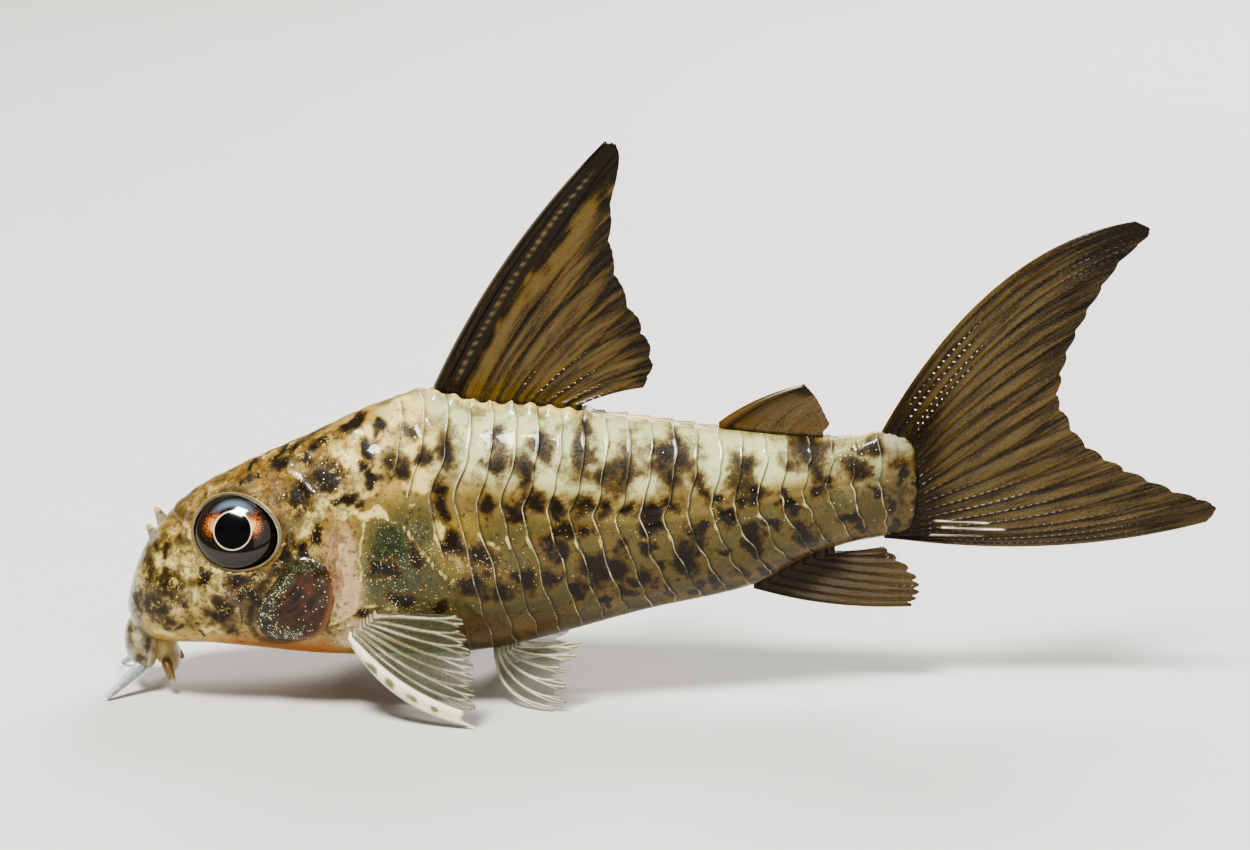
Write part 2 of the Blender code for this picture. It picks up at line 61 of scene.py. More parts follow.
# Body stations from the snout to the tail: place, back, belly, seam between the two rows of plates,
# level of the greatest width, half width, and how boxy the section is above and below that level
BODY = (
    (-29.70, 5.10, 4.30, 4.75, 4.70, 0.50, 2.0, 2.0),
    (-29.30, 6.50, 3.80, 5.30, 4.90, 1.75, 2.1, 2.1),
    (-28.80, 7.80, 3.30, 5.80, 5.10, 2.35, 2.2, 2.3),
    (-28.00, 9.10, 3.00, 6.50, 5.40, 2.95, 2.3, 2.6),
    (-26.70, 10.60, 2.95, 7.60, 5.90, 3.50, 2.2, 2.9),
    (-25.00, 11.80, 3.00, 8.50, 6.40, 3.95, 2.05, 3.0),
    (-23.00, 12.80, 2.80, 9.40, 6.80, 4.35, 2.0, 3.0),
    (-19.00, 14.65, 2.45, 10.90, 6.70, 4.90, 2.0, 3.0),
    (-16.00, 16.05, 2.40, 11.80, 7.00, 5.15, 1.9, 2.85),
    (-13.00, 16.90, 2.35, 12.10, 7.60, 5.20, 1.8, 2.8),
    (-10.00, 16.30, 2.50, 11.80, 8.00, 5.05, 1.8, 2.7),
    (-7.00, 16.10, 3.05, 11.40, 8.40, 4.75, 1.8, 2.6),
    (-1.00, 15.40, 4.60, 10.80, 9.30, 3.90, 1.85, 2.4),
    (5.00, 14.60, 5.90, 11.50, 10.20, 2.85, 1.9, 2.2),
    (8.00, 14.35, 7.50, 11.90, 10.80, 2.30, 1.9, 2.1),
    (10.50, 14.30, 8.30, 12.10, 11.20, 1.80, 2.0, 2.1),
    (12.20, 14.60, 8.60, 12.20, 11.50, 1.28, 2.0, 2.0),
    (13.30, 14.40, 8.80, 12.20, 11.60, 0.70, 2.0, 2.0),
)
SNOUT, HEAD_END, PLATE_START, STALK_END = -29.70, -17.30, -14.60, 13.20
PLATE_PITCH, PLATE_COUNT = 1.25, 22
PLATE_PARTS = (0.0, 0.02, 0.12, 0.26, 0.40, 0.54, 0.68, 0.78, 0.86, 0.92, 0.96, 0.985)
HEAD_COLUMNS, GIRDLE_COLUMNS, ROWS = 132, 30, 104
SEAM, SEAM_WIDE = 0.40, 0.016  # turn of the seam between the two rows of plates
FULL_DEPTH = 14.0
TAIL_FROM, TAIL_ROUND = 9.5, 0.65
# Place and size of the rings that close the snout and the tail
SNOUT_CAP = ((-29.735, 0.0), (-29.728, 0.35), (-29.716, 0.7))
TAIL_CAP = ((13.45, 0.88), (13.70, 0.62), (13.90, 0.35), (14.00, 0.10))

EYE_PLACE, EYE_SIZE = (-23.22, 3.20, 9.80), (2.30, 0.98, 2.08)
EYE_TURN, EYE_TILT = math.radians(8), math.radians(30)
RIM_SIZE = (2.68, 2.06)
PUPIL_TURN, PUPIL_RISE = math.radians(2), math.radians(15)  # how far the pupil looks forwards and up

OUTLINE_POINTS, LID_SIDES = 145, 25  # round a gill plate or an eyelid, and round the lid's section
COVER_MIDDLE, COVER_SIZE, COVER_LEAN = (-20.05, 6.25), (2.05, 2.45), 0.42
NOSTRIL_FLAP = ((-27.60, 1.55, 8.40), (-27.95, 1.60, 9.15), (-28.30, 1.68, 9.80))
NOSTRIL_SLIT = (-26.70, 9.95)

LIP_MIDDLE, LIP_SIZE = (-29.02, 0.0, 2.75), (1.00, 2.00, 1.60)
FLAP_MIDDLE, FLAP_SIZE = (-27.45, 0.0, 1.62), (0.48, 1.10, 0.98)
UPPER_BARBEL = ((-28.80, 1.62, 1.70), (-29.72, 2.30, 0.92), (-30.72, 3.06, 0.14))
LOWER_BARBEL = ((-27.60, 1.10, 1.75), (-27.35, 1.75, 1.25), (-27.10, 2.10, 0.75))
LOBE = ((-28.70, 1.05, 2.60), (-28.78, 1.45, 1.95), (-28.90, 1.72, 1.50))
COVER_EDGE = (
    (-20.30, 8.50), (-19.50, 8.80), (-18.40, 8.50), (-17.78, 7.70), (-17.85, 6.40), (-18.25, 4.95),
    (-19.00, 4.05), (-20.40, 3.80), (-21.70, 3.95), (-22.34, 4.90), (-21.95, 6.20), (-21.10, 7.50),
)

# Each fin: points where its rays start, points where they end, and how far their middles bow out. Share of
# the fin's width comes first, then x, y and z for the side at positive y.
DORSAL_TIPS = (
    (0.00, -3.15, 0, 30.80), (0.14, -2.30, 0, 30.60), (0.28, -2.75, 0, 27.00), (0.43, -2.70, 0, 24.60),
    (0.57, -1.95, 0, 22.20), (0.71, -1.00, 0, 20.40), (0.86, -0.50, 0, 18.50), (1.00, -1.00, 0, 17.10),
)
DORSAL_BOWS = ((0.0, -1.2, 0, 0.8), (1.0, 0.0, 0, 0.25))
ADIPOSE_TIPS = ((0.0, 7.80, 0, 17.30), (0.5, 8.40, 0, 16.60), (0.8, 8.90, 0, 15.70), (1.0, 9.20, 0, 15.05))
ADIPOSE_BOWS = ((0.0, -0.45, 0, 0.42), (1.0, 0.1, 0, 0.0))
ANAL_TIPS = (
    (0.0, 13.90, 0, 4.50), (0.3, 14.35, 0, 5.30), (0.6, 14.15, 0, 6.30), (0.8, 13.30, 0, 7.20),
    (1.0, 12.30, 0, 8.00),
)
ANAL_BOWS = ((0.0, -0.5, 0, -0.75), (1.0, 0.2, 0, -0.1))
TAIL_TIPS = (
    (0.00, 25.60, 0, 26.40), (0.07, 26.45, 0, 25.80), (0.16, 24.90, 0, 24.10), (0.27, 23.30, 0, 21.50),
    (0.38, 22.20, 0, 19.00), (0.48, 21.80, 0, 16.80), (0.52, 21.90, 0, 16.20), (0.62, 23.20, 0, 14.10),
    (0.73, 25.40, 0, 12.60), (0.84, 28.10, 0, 11.35), (0.94, 30.60, 0, 10.35), (1.00, 30.30, 0, 9.45),
)
TAIL_BOWS = (
    (0.0, -1.2, 0, 4.6), (0.25, -0.5, 0, 1.6), (0.5, 0.0, 0, 0.0), (0.75, 0.3, 0, -0.6), (1.0, 0.6, 0, -1.9),
)
PECTORAL_STARTS = ((0.0, -17.10, 5.45, 4.30), (1.0, -15.50, 5.75, 5.85))
PECTORAL_TIPS = (
    (0.00, -10.06, 7.70, 0.10), (0.25, -10.06, 7.55, 1.10), (0.45, -10.16, 7.25, 2.40),
    (0.62, -10.25, 6.95, 3.50), (0.80, -10.55, 6.60, 4.70), (1.00, -10.80, 6.30, 6.00),
)
PECTORAL_BOWS = ((0.0, -1.2, 0.5, -1.45), (0.3, -0.5, 0.3, -0.9), (1.0, 0.0, 0.0, 0.2))
PELVIC_STARTS = ((0.0, -9.20, 2.30, 2.10), (1.0, -7.80, 2.65, 2.95))
PELVIC_TIPS = (
    (0.00, -6.00, 4.90, 0.10), (0.25, -5.20, 4.95, 0.60), (0.50, -5.25, 4.75, 1.90),
    (0.75, -4.85, 4.55, 2.80), (1.00, -4.36, 4.10, 3.90),
)
PELVIC_BOWS = ((0.0, -1.5, 0.4, -0.9), (1.0, 0.0, 0.3, 0.0))


def linear(hex_colour):
    """An sRGB hex colour as linear numbers from 0 to 1."""
    found = []
    for start in (0, 2, 4):
        value = int(hex_colour[start:start + 2], 16) / 255
        found.append(value / 12.92 if value <= 0.04045 else ((value + 0.055) / 1.055) ** 2.4)
    return tuple(found)


def read(rows, at):
    """The other columns of a table at many values of its first one, along a smooth curve through the rows."""
    table = np.array(rows, float)
    at = np.asarray(at, float)
    places, values = table[:, 0], table[:, 1:]
    last = len(table) - 1
    low = np.clip(np.searchsorted(places, at, side="right") - 1, 0, last - 1)
    before, after = np.maximum(np.arange(last + 1) - 1, 0), np.minimum(np.arange(last + 1) + 1, last)
    slopes = (values[after] - values[before]) / (places[after] - places[before])[:, None]
    span = (places[low + 1] - places[low])[..., None]
    part = np.clip((at - places[low])[..., None] / span, 0, 1)
    rise = 3 * part**2 - 2 * part**3
    leave = part * (1 - part) ** 2 * span * slopes[low]
    arrive = part**2 * (part - 1) * span * slopes[low + 1]
    return values[low] + (values[low + 1] - values[low]) * rise + leave + arrive


def ease(value, low, high):
    """0 below low, 1 above high and smooth between them. It runs down where high is the smaller."""
    part = np.clip((value - low) / (high - low), 0, 1)
    return part * part * (3 - 2 * part)


def bump(value, width):
    """A round bump of height 1 at value 0."""
    return np.exp(-((value / width) ** 2))


def section(x, turn):
    """y and z on the skin at positive y. turn is 0 on the back, SEAM on the seam and 1 under the belly."""
    top, belly, seam, level, half, above, below = np.moveaxis(read(BODY, x), -1, 0)
    over = np.clip((seam - level) / (top - level), 0, 1)
    under = np.clip((level - seam) / (level - belly), 0, 1)
    seam_angle = np.where(
        seam >= level, np.arccos(over ** (above / 2)), math.pi - np.arccos(under ** (below / 2)))
    lower = seam_angle + (math.pi - seam_angle) * (turn - SEAM) / (1 - SEAM)
    angle = np.where(turn < SEAM, seam_angle * turn / SEAM, lower)
    upper = angle < math.pi / 2
    power = 2 / np.where(upper, above, below)
    rise = np.where(upper, top - level, level - belly)
    y = half * np.clip(np.sin(angle), 0, 1) ** power
    z = level + np.sign(np.cos(angle)) * rise * np.abs(np.cos(angle)) ** power
    return y, z


def side_depth(x, height):
    """Half width of the body at a height."""
    top, belly, _, level, half, above, below = np.moveaxis(read(BODY, x), -1, 0)
    share = np.where(height > level, (height - level) / (top - level), (level - height) / (level - belly))
    power = np.where(height > level, above, below)
    return half * np.clip(1 - np.clip(share, 0, 1) ** power, 0, 1) ** (1 / power)


def back(x):
    return read(BODY, x)[..., 0]


def belly(x):
    return read(BODY, x)[..., 1]


def sweep(x, turn):
    """How far back the edge of a plate lies at a turn: bowed above the seam, swept back below it."""
    tall = (back(x) - belly(x)) / FULL_DEPTH
    upper = turn / SEAM
    lower = np.clip((turn - SEAM) / (0.84 - SEAM), 0, 1)
    bowed = tall * (0.45 * np.sin(math.pi * upper) - 0.5 * upper**4)
    swept = tall * (2.1 * np.sin(math.pi / 2 * lower) - 0.5) * (1 + 0.85 * ease(x, -5.0, 4.0) * lower)
    share = np.clip((x - TAIL_FROM) / (STALK_END - TAIL_FROM), 0, 1)
    return np.where(turn < SEAM, bowed, swept) * (1 - share) + TAIL_ROUND * np.sin(math.pi * turn) * share


def deselect():
    if bpy.context.object and bpy.context.object.mode != "OBJECT":
        bpy.ops.object.mode_set(mode="OBJECT")
    bpy.ops.object.select_all(action="DESELECT")


def choose(piece):
    deselect()
    piece.select_set(True)
    bpy.context.view_layer.objects.active = piece


def laid_grid(name, points, uv=None):
    """A grid primitive whose points are moved to points[column, row], in millimetres."""
    deselect()
    columns, rows = points.shape[:2]
    bpy.ops.mesh.primitive_grid_add(x_subdivisions=columns - 1, y_subdivisions=rows - 1, size=1)
    piece = bpy.context.object
    piece.name = piece.data.name = name
    placed = (np.swapaxes(points, 0, 1) * MM).reshape(-1).astype(np.float32)
    piece.data.vertices.foreach_set("co", placed)
    if uv is not None:
        corners = np.empty(len(piece.data.loops), np.int32)
        piece.data.loops.foreach_get("vertex_index", corners)
        flat = np.swapaxes(uv, 0, 1).reshape(-1, 2)[corners]
        piece.data.uv_layers[0].data.foreach_set("uv", flat.reshape(-1).astype(np.float32))
    piece.data.update()
    return piece


def paint_points(piece, name, values):
    """Stores four numbers for each point of a laid grid as a colour attribute."""
    layer = piece.data.attributes.new(name, "FLOAT_COLOR", "POINT")
    layer.data.foreach_set("color", np.swapaxes(values, 0, 1).reshape(-1).astype(np.float32))


def close_seams(piece, distance=1e-6):
    """Merges points that lie together and turns the faces outwards."""
    choose(piece)
    bpy.ops.object.mode_set(mode="EDIT")
    bpy.ops.mesh.select_all(action="SELECT")
    bpy.ops.mesh.remove_doubles(threshold=distance)
    bpy.ops.mesh.normals_make_consistent(inside=False)
    bpy.ops.object.mode_set(mode="OBJECT")
    bpy.ops.object.shade_smooth()


def dress(piece, material, slot, *nodes):
    """Gives a finished piece its material, its body and the nodes that it stands for. The slot argument is not
    used.
    """
    piece.data.materials.clear()
    piece.data.materials.append(material)
    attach(piece, BODY_NAME)
    if nodes:
        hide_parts(*nodes)


def fill(tree, node, sockets):
    """Fills the sockets of a node with values or links. A colour is made opaque."""
    for name, value in sockets.items():
        if isinstance(value, bpy.types.NodeSocket):
            tree.links.new(value, node.inputs[name])
        else:
            node.inputs[name].default_value = (*value, 1) if isinstance(value, Color) else value


def add(tree, kind, sockets=None, **settings):
    """Adds a shader node, sets it and fills its sockets. Returns its first output in use."""
    made = tree.nodes.new("ShaderNode" + kind)
    for name, value in settings.items():
        setattr(made, name, value)
    fill(tree, made, sockets or {})
    return next(output for output in made.outputs if output.enabled)


def new_material(name):
    """A Principled material, its node tree and its shader."""
    material = bpy.data.materials.new(name)
    material.use_nodes = True
    return material, material.node_tree, material.node_tree.nodes["Principled BSDF"]


# Dark blotches of the flank, in rows from back to belly: place, height, half length, half height, lean
BLOTCHES = (
    (-11.8, 14.3, 0.58, 0.98, 0), (-9.1, 14.9, 0.51, 0.49, 0), (-8.9, 13.7, 0.54, 0.92, 0),
    (-7.6, 13.3, 0.64, 1.04, 8), (-6.4, 14.5, 0.70, 0.51, 0), (-4.3, 14.2, 0.70, 1.34, 0),
    (-2.9, 12.9, 0.70, 0.92, 0), (-2.0, 13.3, 0.77, 1.10, 0), (0.4, 13.7, 1.22, 1.22, 10),
    (1.9, 12.2, 0.55, 0.65, 0), (4.4, 12.7, 0.77, 1.22, 12), (5.1, 11.9, 0.50, 0.60, 0),
    (7.9, 13.9, 1.47, 1.04, 0), (8.4, 13.2, 0.77, 0.85, 0), (10.7, 12.9, 0.77, 0.61, 0),
    (11.4, 13.9, 1.02, 0.43, 0), (-12.0, 11.6, 0.55, 0.60, 0), (-9.5, 11.5, 0.55, 0.60, 0),
    (-8.1, 11.2, 0.45, 0.70, 12), (-7.0, 11.8, 0.65, 0.50, 0), (-5.7, 11.3, 0.45, 0.50, 0),
    (-4.4, 11.5, 0.65, 0.75, 0), (-3.2, 11.3, 0.40, 0.55, 0), (-2.0, 11.4, 0.40, 0.35, 0),
    (-0.6, 11.0, 0.75, 0.75, 0), (0.6, 11.4, 0.45, 0.50, 0), (3.1, 11.6, 0.50, 0.45, 0),
    (4.2, 11.4, 0.35, 0.40, 0), (6.7, 11.3, 0.65, 0.50, 0), (8.6, 11.7, 0.55, 0.50, 0),
    (8.9, 12.4, 0.40, 0.35, 0), (10.2, 10.2, 0.90, 0.45, -20), (11.9, 11.5, 0.90, 0.30, -20),
    (12.5, 10.7, 0.28, 0.80, 18), (12.9, 12.6, 0.30, 0.60, 10), (13.0, 9.4, 0.35, 0.60, 0),
    (7.4, 10.9, 0.35, 0.45, 0), (11.0, 9.4, 0.54, 0.43, 0), (-5.3, 10.3, 0.55, 0.50, 35),
    (-4.1, 10.3, 0.55, 0.40, 0), (-0.7, 10.3, 0.75, 0.45, 0), (2.3, 10.2, 0.45, 0.50, 0),
    (3.6, 10.4, 0.50, 0.40, 0), (4.9, 10.1, 0.45, 0.35, 0), (-11.3, 9.6, 0.65, 0.81, 0),
    (-9.8, 8.9, 0.70, 0.92, 20), (-5.9, 9.3, 0.70, 0.65, 0), (-3.6, 7.9, 0.81, 1.03, 10),
    (-2.5, 7.9, 0.76, 0.92, 12), (-2.3, 9.4, 0.49, 0.38, 0), (-0.7, 9.2, 0.49, 0.59, 0),
    (1.2, 8.2, 0.76, 1.19, 22), (1.8, 9.5, 0.49, 0.86, 15), (4.9, 9.3, 0.54, 0.97, 20),
    (5.3, 8.5, 0.43, 0.65, 10), (7.6, 9.6, 0.70, 0.76, 25), (8.1, 8.9, 0.59, 0.65, 20),
    (5.9, 10.0, 0.45, 0.30, 0), (-10.2, 7.3, 0.92, 0.76, 0), (-8.7, 6.9, 0.76, 0.70, 0),
    (-7.4, 7.5, 0.76, 0.76, 0), (-5.9, 7.5, 0.59, 0.65, 0), (-4.6, 6.9, 0.49, 0.54, 0),
    (-3.0, 6.1, 0.32, 0.35, 0), (-2.0, 6.4, 0.49, 0.38, 0), (-1.3, 7.4, 0.49, 0.49, 0),
    (-0.6, 6.8, 0.54, 0.43, 0), (-0.1, 7.9, 0.35, 0.38, 0), (0.5, 6.5, 0.35, 0.43, 0),
    (2.9, 6.9, 0.54, 0.59, 0), (4.2, 7.3, 0.49, 0.65, 20), (3.2, 8.6, 0.41, 0.27, 0),
    (5.6, 7.2, 0.49, 0.49, 0), (1.9, 6.4, 0.38, 0.49, 0),
)
HEAD_BLOTCHES = (
    (-24.6, 11.3, 0.60, 0.22, 30), (-22.4, 12.5, 0.70, 0.20, 28), (-20.7, 13.5, 0.60, 0.30, 28),
    (-18.7, 14.5, 0.70, 0.25, 27), (-17.0, 15.3, 0.50, 0.30, 27), (-23.2, 12.0, 0.30, 0.15, 0),
    (-19.6, 13.6, 0.40, 0.35, 0), (-16.2, 13.6, 0.45, 0.35, 0), (-26.9, 6.7, 0.70, 1.05, 5),
    (-27.9, 5.7, 0.55, 0.90, 0), (-26.1, 5.9, 0.45, 0.75, 0), (-25.1, 7.4, 0.45, 0.45, 0),
    (-24.2, 5.7, 0.75, 0.65, 0), (-23.0, 7.5, 0.80, 0.50, 0), (-28.3, 7.5, 0.40, 0.85, 12),
    (-27.9, 8.9, 0.50, 0.22, -25), (-27.1, 4.8, 0.45, 0.40, 0), (-26.9, 8.9, 0.30, 0.25, 0),
    (-28.9, 5.4, 0.28, 0.90, 0), (-26.4, 4.4, 0.18, 0.16, 0), (-25.3, 4.6, 0.20, 0.15, 0),
    (-25.0, 4.2, 0.16, 0.20, 0), (-23.4, 4.3, 0.55, 0.35, 15), (-22.4, 6.6, 0.50, 0.60, 0),
    (-20.6, 9.0, 0.55, 1.10, -20), (-18.9, 9.9, 0.45, 0.50, 0), (-19.6, 9.0, 0.30, 0.50, 0),
    (-18.1, 12.9, 0.90, 0.65, -35), (-17.2, 11.9, 1.20, 0.28, 5), (-19.6, 12.0, 0.60, 0.90, -30),
    (-15.4, 15.6, 0.45, 0.45, 0), (-13.6, 15.3, 0.55, 0.45, 0), (-14.2, 13.6, 0.75, 0.60, 0),
    (-15.9, 14.4, 0.50, 0.42, 0), (-12.2, 12.6, 0.45, 0.50, 0), (-15.6, 12.9, 0.60, 0.32, 12),
    (-12.9, 14.0, 0.35, 0.55, 0), (-15.1, 4.6, 0.45, 0.45, 0), (-16.2, 5.7, 0.35, 0.30, 0),
    (-15.2, 8.3, 0.70, 0.80, 0), (-14.1, 6.6, 1.10, 0.60, 10), (-13.2, 9.0, 0.45, 0.90, 25),
    (-12.2, 6.2, 0.60, 0.35, 0),
)
# Bright ivory patches of the head and nape: place, height, half length, half height, lean
IVORY = (
    # The first four patches, behind the shoulder, are pale gold, partly painted highlights where flares of
    # light lie
    (-12.0, 10.3, 0.45, 0.40, 30), (-10.7, 9.7, 0.40, 0.22, 0), (-11.3, 8.8, 0.35, 0.25, -30),
    (-9.0, 9.6, 0.30, 0.20, 0), (-18.6, 12.6, 1.50, 0.45, -22), (-17.6, 11.9, 1.00, 0.60, 0),
    (-16.4, 12.2, 1.10, 0.35, 12), (-17.2, 13.9, 0.90, 0.60, -20), (-16.4, 13.2, 0.60, 0.60, 0),
    (-16.5, 15.0, 0.85, 0.30, 28), (-14.0, 16.0, 1.20, 0.55, 10), (-13.0, 15.2, 0.90, 0.60, 0),
    (-14.2, 14.5, 1.20, 0.40, 5), (-13.2, 13.0, 1.30, 0.70, 0), (-19.6, 10.5, 0.55, 0.95, 20),
    (-18.9, 11.2, 0.80, 0.45, -20), (-16.0, 11.2, 1.40, 0.35, 0), (-26.6, 8.2, 0.90, 0.55, -25),
    # The thin patch at -24.7 and 7.75 is a painted highlight along the ridge under the eye
    (-25.6, 8.3, 0.55, 0.30, -20), (-27.4, 7.9, 0.40, 0.70, 0), (-24.7, 7.75, 1.30, 0.13, -5),
    (-25.6, 6.3, 0.50, 0.70, 0), (-27.3, 3.9, 0.70, 0.40, 0), (-24.6, 4.4, 0.60, 0.35, 0),
    (-25.9, 9.6, 0.35, 0.70, 20), (-20.7, 14.1, 0.45, 0.12, 25), (-22.0, 13.4, 0.60, 0.10, 27),
)
# Ground colours of the flank at turns from the back to the belly, and of the head at heights
FLANK_BANDS = (
    # The bands of the lower flank are darkened in part as painted shade
    (0.00, "8a7a4c"), (0.05, "a59c68"), (0.12, "cccf93"), (0.30, "cfd196"), (0.37, "9c8a52"), (0.42, "6c5f34"),
    (0.48, "5f5831"), (0.62, "57522d"), (0.76, "463a1b"), (0.86, "423117"), (1.00, "6b4e2b"),
)
FACE_BANDS = (
    (2.0, "9a5f2c"), (3.4, "b59250"), (5.5, "b59d60"), (8.5, "c2ad68"), (10.0, "a3864a"), (12.5, "9d7c3e"),
    (16.0, "a58546"),
)
# Airbrushed grounds: place, height, half length, half height, lean, colour, strength
GROUNDS = (
    (-29.4, 5.6, 0.55, 2.60, 12, "a1a89e", 0.70),
    (-28.2, 8.2, 1.00, 0.70, 40, "8d7c4c", 0.60),
    (-25.9, 10.7, 3.20, 0.60, 33, "93753a", 0.75),
    (-22.5, 12.8, 3.00, 0.55, 27, "8c6a2c", 0.75),
    (-19.5, 13.0, 2.60, 1.20, 25, "82632c", 0.65),
    (-17.5, 14.9, 2.50, 0.60, 27, "9c7a36", 0.80),
    (-15.0, 14.0, 2.80, 1.80, 15, "bd9c50", 0.72),
    (-26.3, 6.4, 2.10, 1.90, 0, "a58f55", 0.55),
    (-24.3, 4.3, 2.90, 1.00, 0, "b89c58", 0.80),
    (-22.7, 6.6, 1.50, 1.50, 20, "452f1a", 0.90),
    (-23.4, 6.2, 0.80, 0.70, 0, "7c6a66", 0.45),
    (-21.0, 3.2, 3.20, 0.90, 0, "9a5718", 0.85),
    (-20.9, 9.0, 1.10, 1.70, -20, "6d4522", 0.70),
    (-17.2, 7.4, 0.80, 2.90, 5, "ccad86", 0.90),
    (-17.9, 8.2, 0.40, 1.50, 10, "8f5c36", 0.70),
    (-14.1, 8.5, 1.95, 2.60, -18, "3b4833", 0.97),
    (-14.9, 9.4, 0.70, 1.30, 0, "222a1a", 0.70),
    (-15.3, 4.9, 1.60, 0.80, 20, "dccd9c", 0.85),
    (-16.7, 4.4, 0.90, 0.60, 30, "e6dcb8", 0.80),
    (-12.7, 4.8, 3.40, 1.00, 0, "6f5428", 0.85),
    (-9.0, 4.6, 4.00, 1.20, 0, "5a411d", 0.75),
    (-11.2, 9.8, 1.20, 1.40, 0, "b59544", 0.50),
    (11.2, 12.8, 1.40, 1.10, 0, "9a9a72", 0.60),
    (12.2, 10.6, 1.60, 1.80, 0, "55431f", 0.60),
    (13.5, 11.0, 0.60, 3.20, 0, "3a2d14", 0.85),
    (12.6, 13.9, 0.80, 0.70, 0, "a9aa92", 0.60),
)
# Glitter: place, height, half length, half height, lean, strength
GLITTER = (
    (-14.6, 8.6, 1.60, 2.30, -15, 0.60), (-13.4, 6.2, 1.20, 0.50, 0, 0.9), (-9.6, 8.4, 2.40, 0.45, -8, 0.7),
    (-12.3, 9.6, 0.50, 0.90, 0, 0.8), (-19.2, 12.6, 1.60, 0.90, 20, 0.16),
    (-22.4, 6.9, 0.90, 0.40, 50, 0.6), (-26.0, 7.6, 2.50, 1.40, 0, 0.06), (-18.8, 9.3, 1.20, 1.20, 0, 0.25),
    (-17.6, 13.6, 3.00, 1.00, 25, 0.12), (-12.0, 16.4, 1.80, 0.60, 0, 0.20),
    (-3.0, 10.4, 9.00, 0.40, 0, 0.22), (8.0, 11.6, 5.00, 0.40, 0, 0.15), (3.5, 14.6, 1.60, 0.50, 0, 0.25),
    (11.5, 13.6, 1.50, 0.90, 0, 0.20),
)
# Thin pale lines of the head and shoulder: points of place and height, then half width and strength
STROKES = (
    (((-14.0, 10.6), (-13.4, 9.7), (-12.3, 8.3), (-11.3, 7.5), (-10.3, 7.0)), 0.09, 0.95),
    (((-18.1, 5.0), (-17.0, 5.7), (-15.9, 6.2), (-14.9, 6.1), (-14.2, 5.5)), 0.10, 0.75),
    (((-17.9, 4.7), (-16.8, 5.2), (-15.7, 5.3)), 0.08, 0.75),
    (((-16.2, 10.6), (-16.4, 9.0), (-16.3, 7.4), (-16.6, 6.3)), 0.08, 0.60),
    (((-17.4, 9.8), (-17.6, 8.4), (-17.5, 6.8)), 0.07, 0.60),
    (((-20.4, 13.2), (-19.5, 12.5), (-18.8, 11.8), (-17.9, 11.6)), 0.14, 0.80),
    (((-18.0, 11.0), (-16.6, 11.2), (-15.0, 11.5), (-13.4, 11.7)), 0.08, 0.70),
    (((-18.2, 10.5), (-16.8, 10.8), (-15.4, 11.0)), 0.06, 0.60),
    (((-22.6, 9.0), (-21.9, 8.2), (-21.4, 7.7)), 0.10, 0.50),
    (((-23.0, 5.1), (-22.4, 5.9), (-22.0, 6.8)), 0.07, 0.45),
    (((-14.6, 16.4), (-13.6, 15.6), (-13.0, 14.6), (-12.9, 13.6)), 0.10, 0.70),
)
# Painted highlights: lit stretches of the tail's lowest rays, written like the pale lines
TAIL_LIGHTS = (
    (((15.1, 9.52), (16.6, 9.42), (18.0, 9.36)), 0.038, 1.0),
    (((15.5, 9.12), (17.0, 9.04), (18.9, 8.98)), 0.050, 1.0),
    (((14.9, 8.72), (16.3, 8.66), (17.7, 8.64)), 0.035, 0.8),
)


def strokes(x, z, places):
    """Nearness to thin lines, 1 on their middles."""
    found = np.zeros_like(x)
    for points, width, strength in places:
        for (x0, z0), (x1, z1) in zip(points, points[1:]):
            dx, dz = x1 - x0, z1 - z0
            share = np.clip(((x - x0) * dx + (z - z0) * dz) / (dx * dx + dz * dz), 0, 1)
            gap = np.hypot(x - x0 - share * dx, z - z0 - share * dz)
            found = np.maximum(found, strength * bump(gap, width))
    return found


def patch(x, z, place, sharp=1.0):
    """1 in the middle of a leaning ellipse, 0.5 on its edge and 0 far outside. place is a row of a table."""
    lean = math.radians(place[4])
    along = (x - place[0]) * math.cos(lean) + (z - place[1]) * math.sin(lean)
    across = (z - place[1]) * math.cos(lean) - (x - place[0]) * math.sin(lean)
    reach = (along / place[2]) ** 2 + (across / place[3]) ** 2
    return 0.5 ** (reach**sharp)


def wobble(x, z, size, seed):
    """Smooth noise between about -1 and 1 whose lumps are roughly size across."""
    chance = np.random.default_rng(seed)
    total = np.zeros_like(x)
    for _ in range(9):
        angle, phase = chance.uniform(0, 2 * math.pi, 2)
        rate = 2 * math.pi / (size * chance.uniform(1.2, 3.2))
        total += np.sin(rate * (x * math.cos(angle) + z * math.sin(angle)) + phase)
    return total / 3.5


def far_side_of(places, side, seed):
    """The same markings a little out of place on the fish's right side, as no fish is the same on both."""
    if side < 0:
        return places
    chance = np.random.default_rng(seed)
    return [(p[0] + chance.normal(0, 0.3), p[1] + chance.normal(0, 0.2), *p[2:]) for p in places]


def most(x, z, places, sharp=1.0):
    """The strongest of many patches at each point."""
    found = np.zeros_like(x)
    for place in places:
        found = np.maximum(found, patch(x, z, place, sharp))
    return found


def ground_colour(x, z, turn):
    """The colour under the markings, before noise: bands from back to belly with airbrushed patches."""
    flank = read([(at, *linear(tone)) for at, tone in FLANK_BANDS], turn)
    face = read([(at, *linear(tone)) for at, tone in FACE_BANDS], z)
    share = ease(x, -19.0, -14.0)[..., None]
    colour = face * (1 - share) + flank * share
    for place in GROUNDS:
        weight = (place[6] * ease(patch(x, z, place), 0.18, 0.75))[..., None]
        colour = colour * (1 - weight) + np.array(linear(place[5])) * weight
    under = (ease(turn, 0.90, 0.99) * ease(x, -29.0, -27.0))[..., None]
    return colour * (1 - under) + np.array(linear("8d6c4d")) * under


def plate_mask(x, turn):
    """Where the plates show: not on the head, the shoulder, the back's mid line or the belly."""
    side_on = ease(turn, 0.02, 0.05) * ease(turn, 0.90, 0.80)
    start = np.where(turn < SEAM, -14.4, -13.0 + 2.6 * ease(turn, SEAM, 0.62))
    return side_on * ease(x, start - 0.4, start + 0.2) * ease(x, 12.9, 12.6)


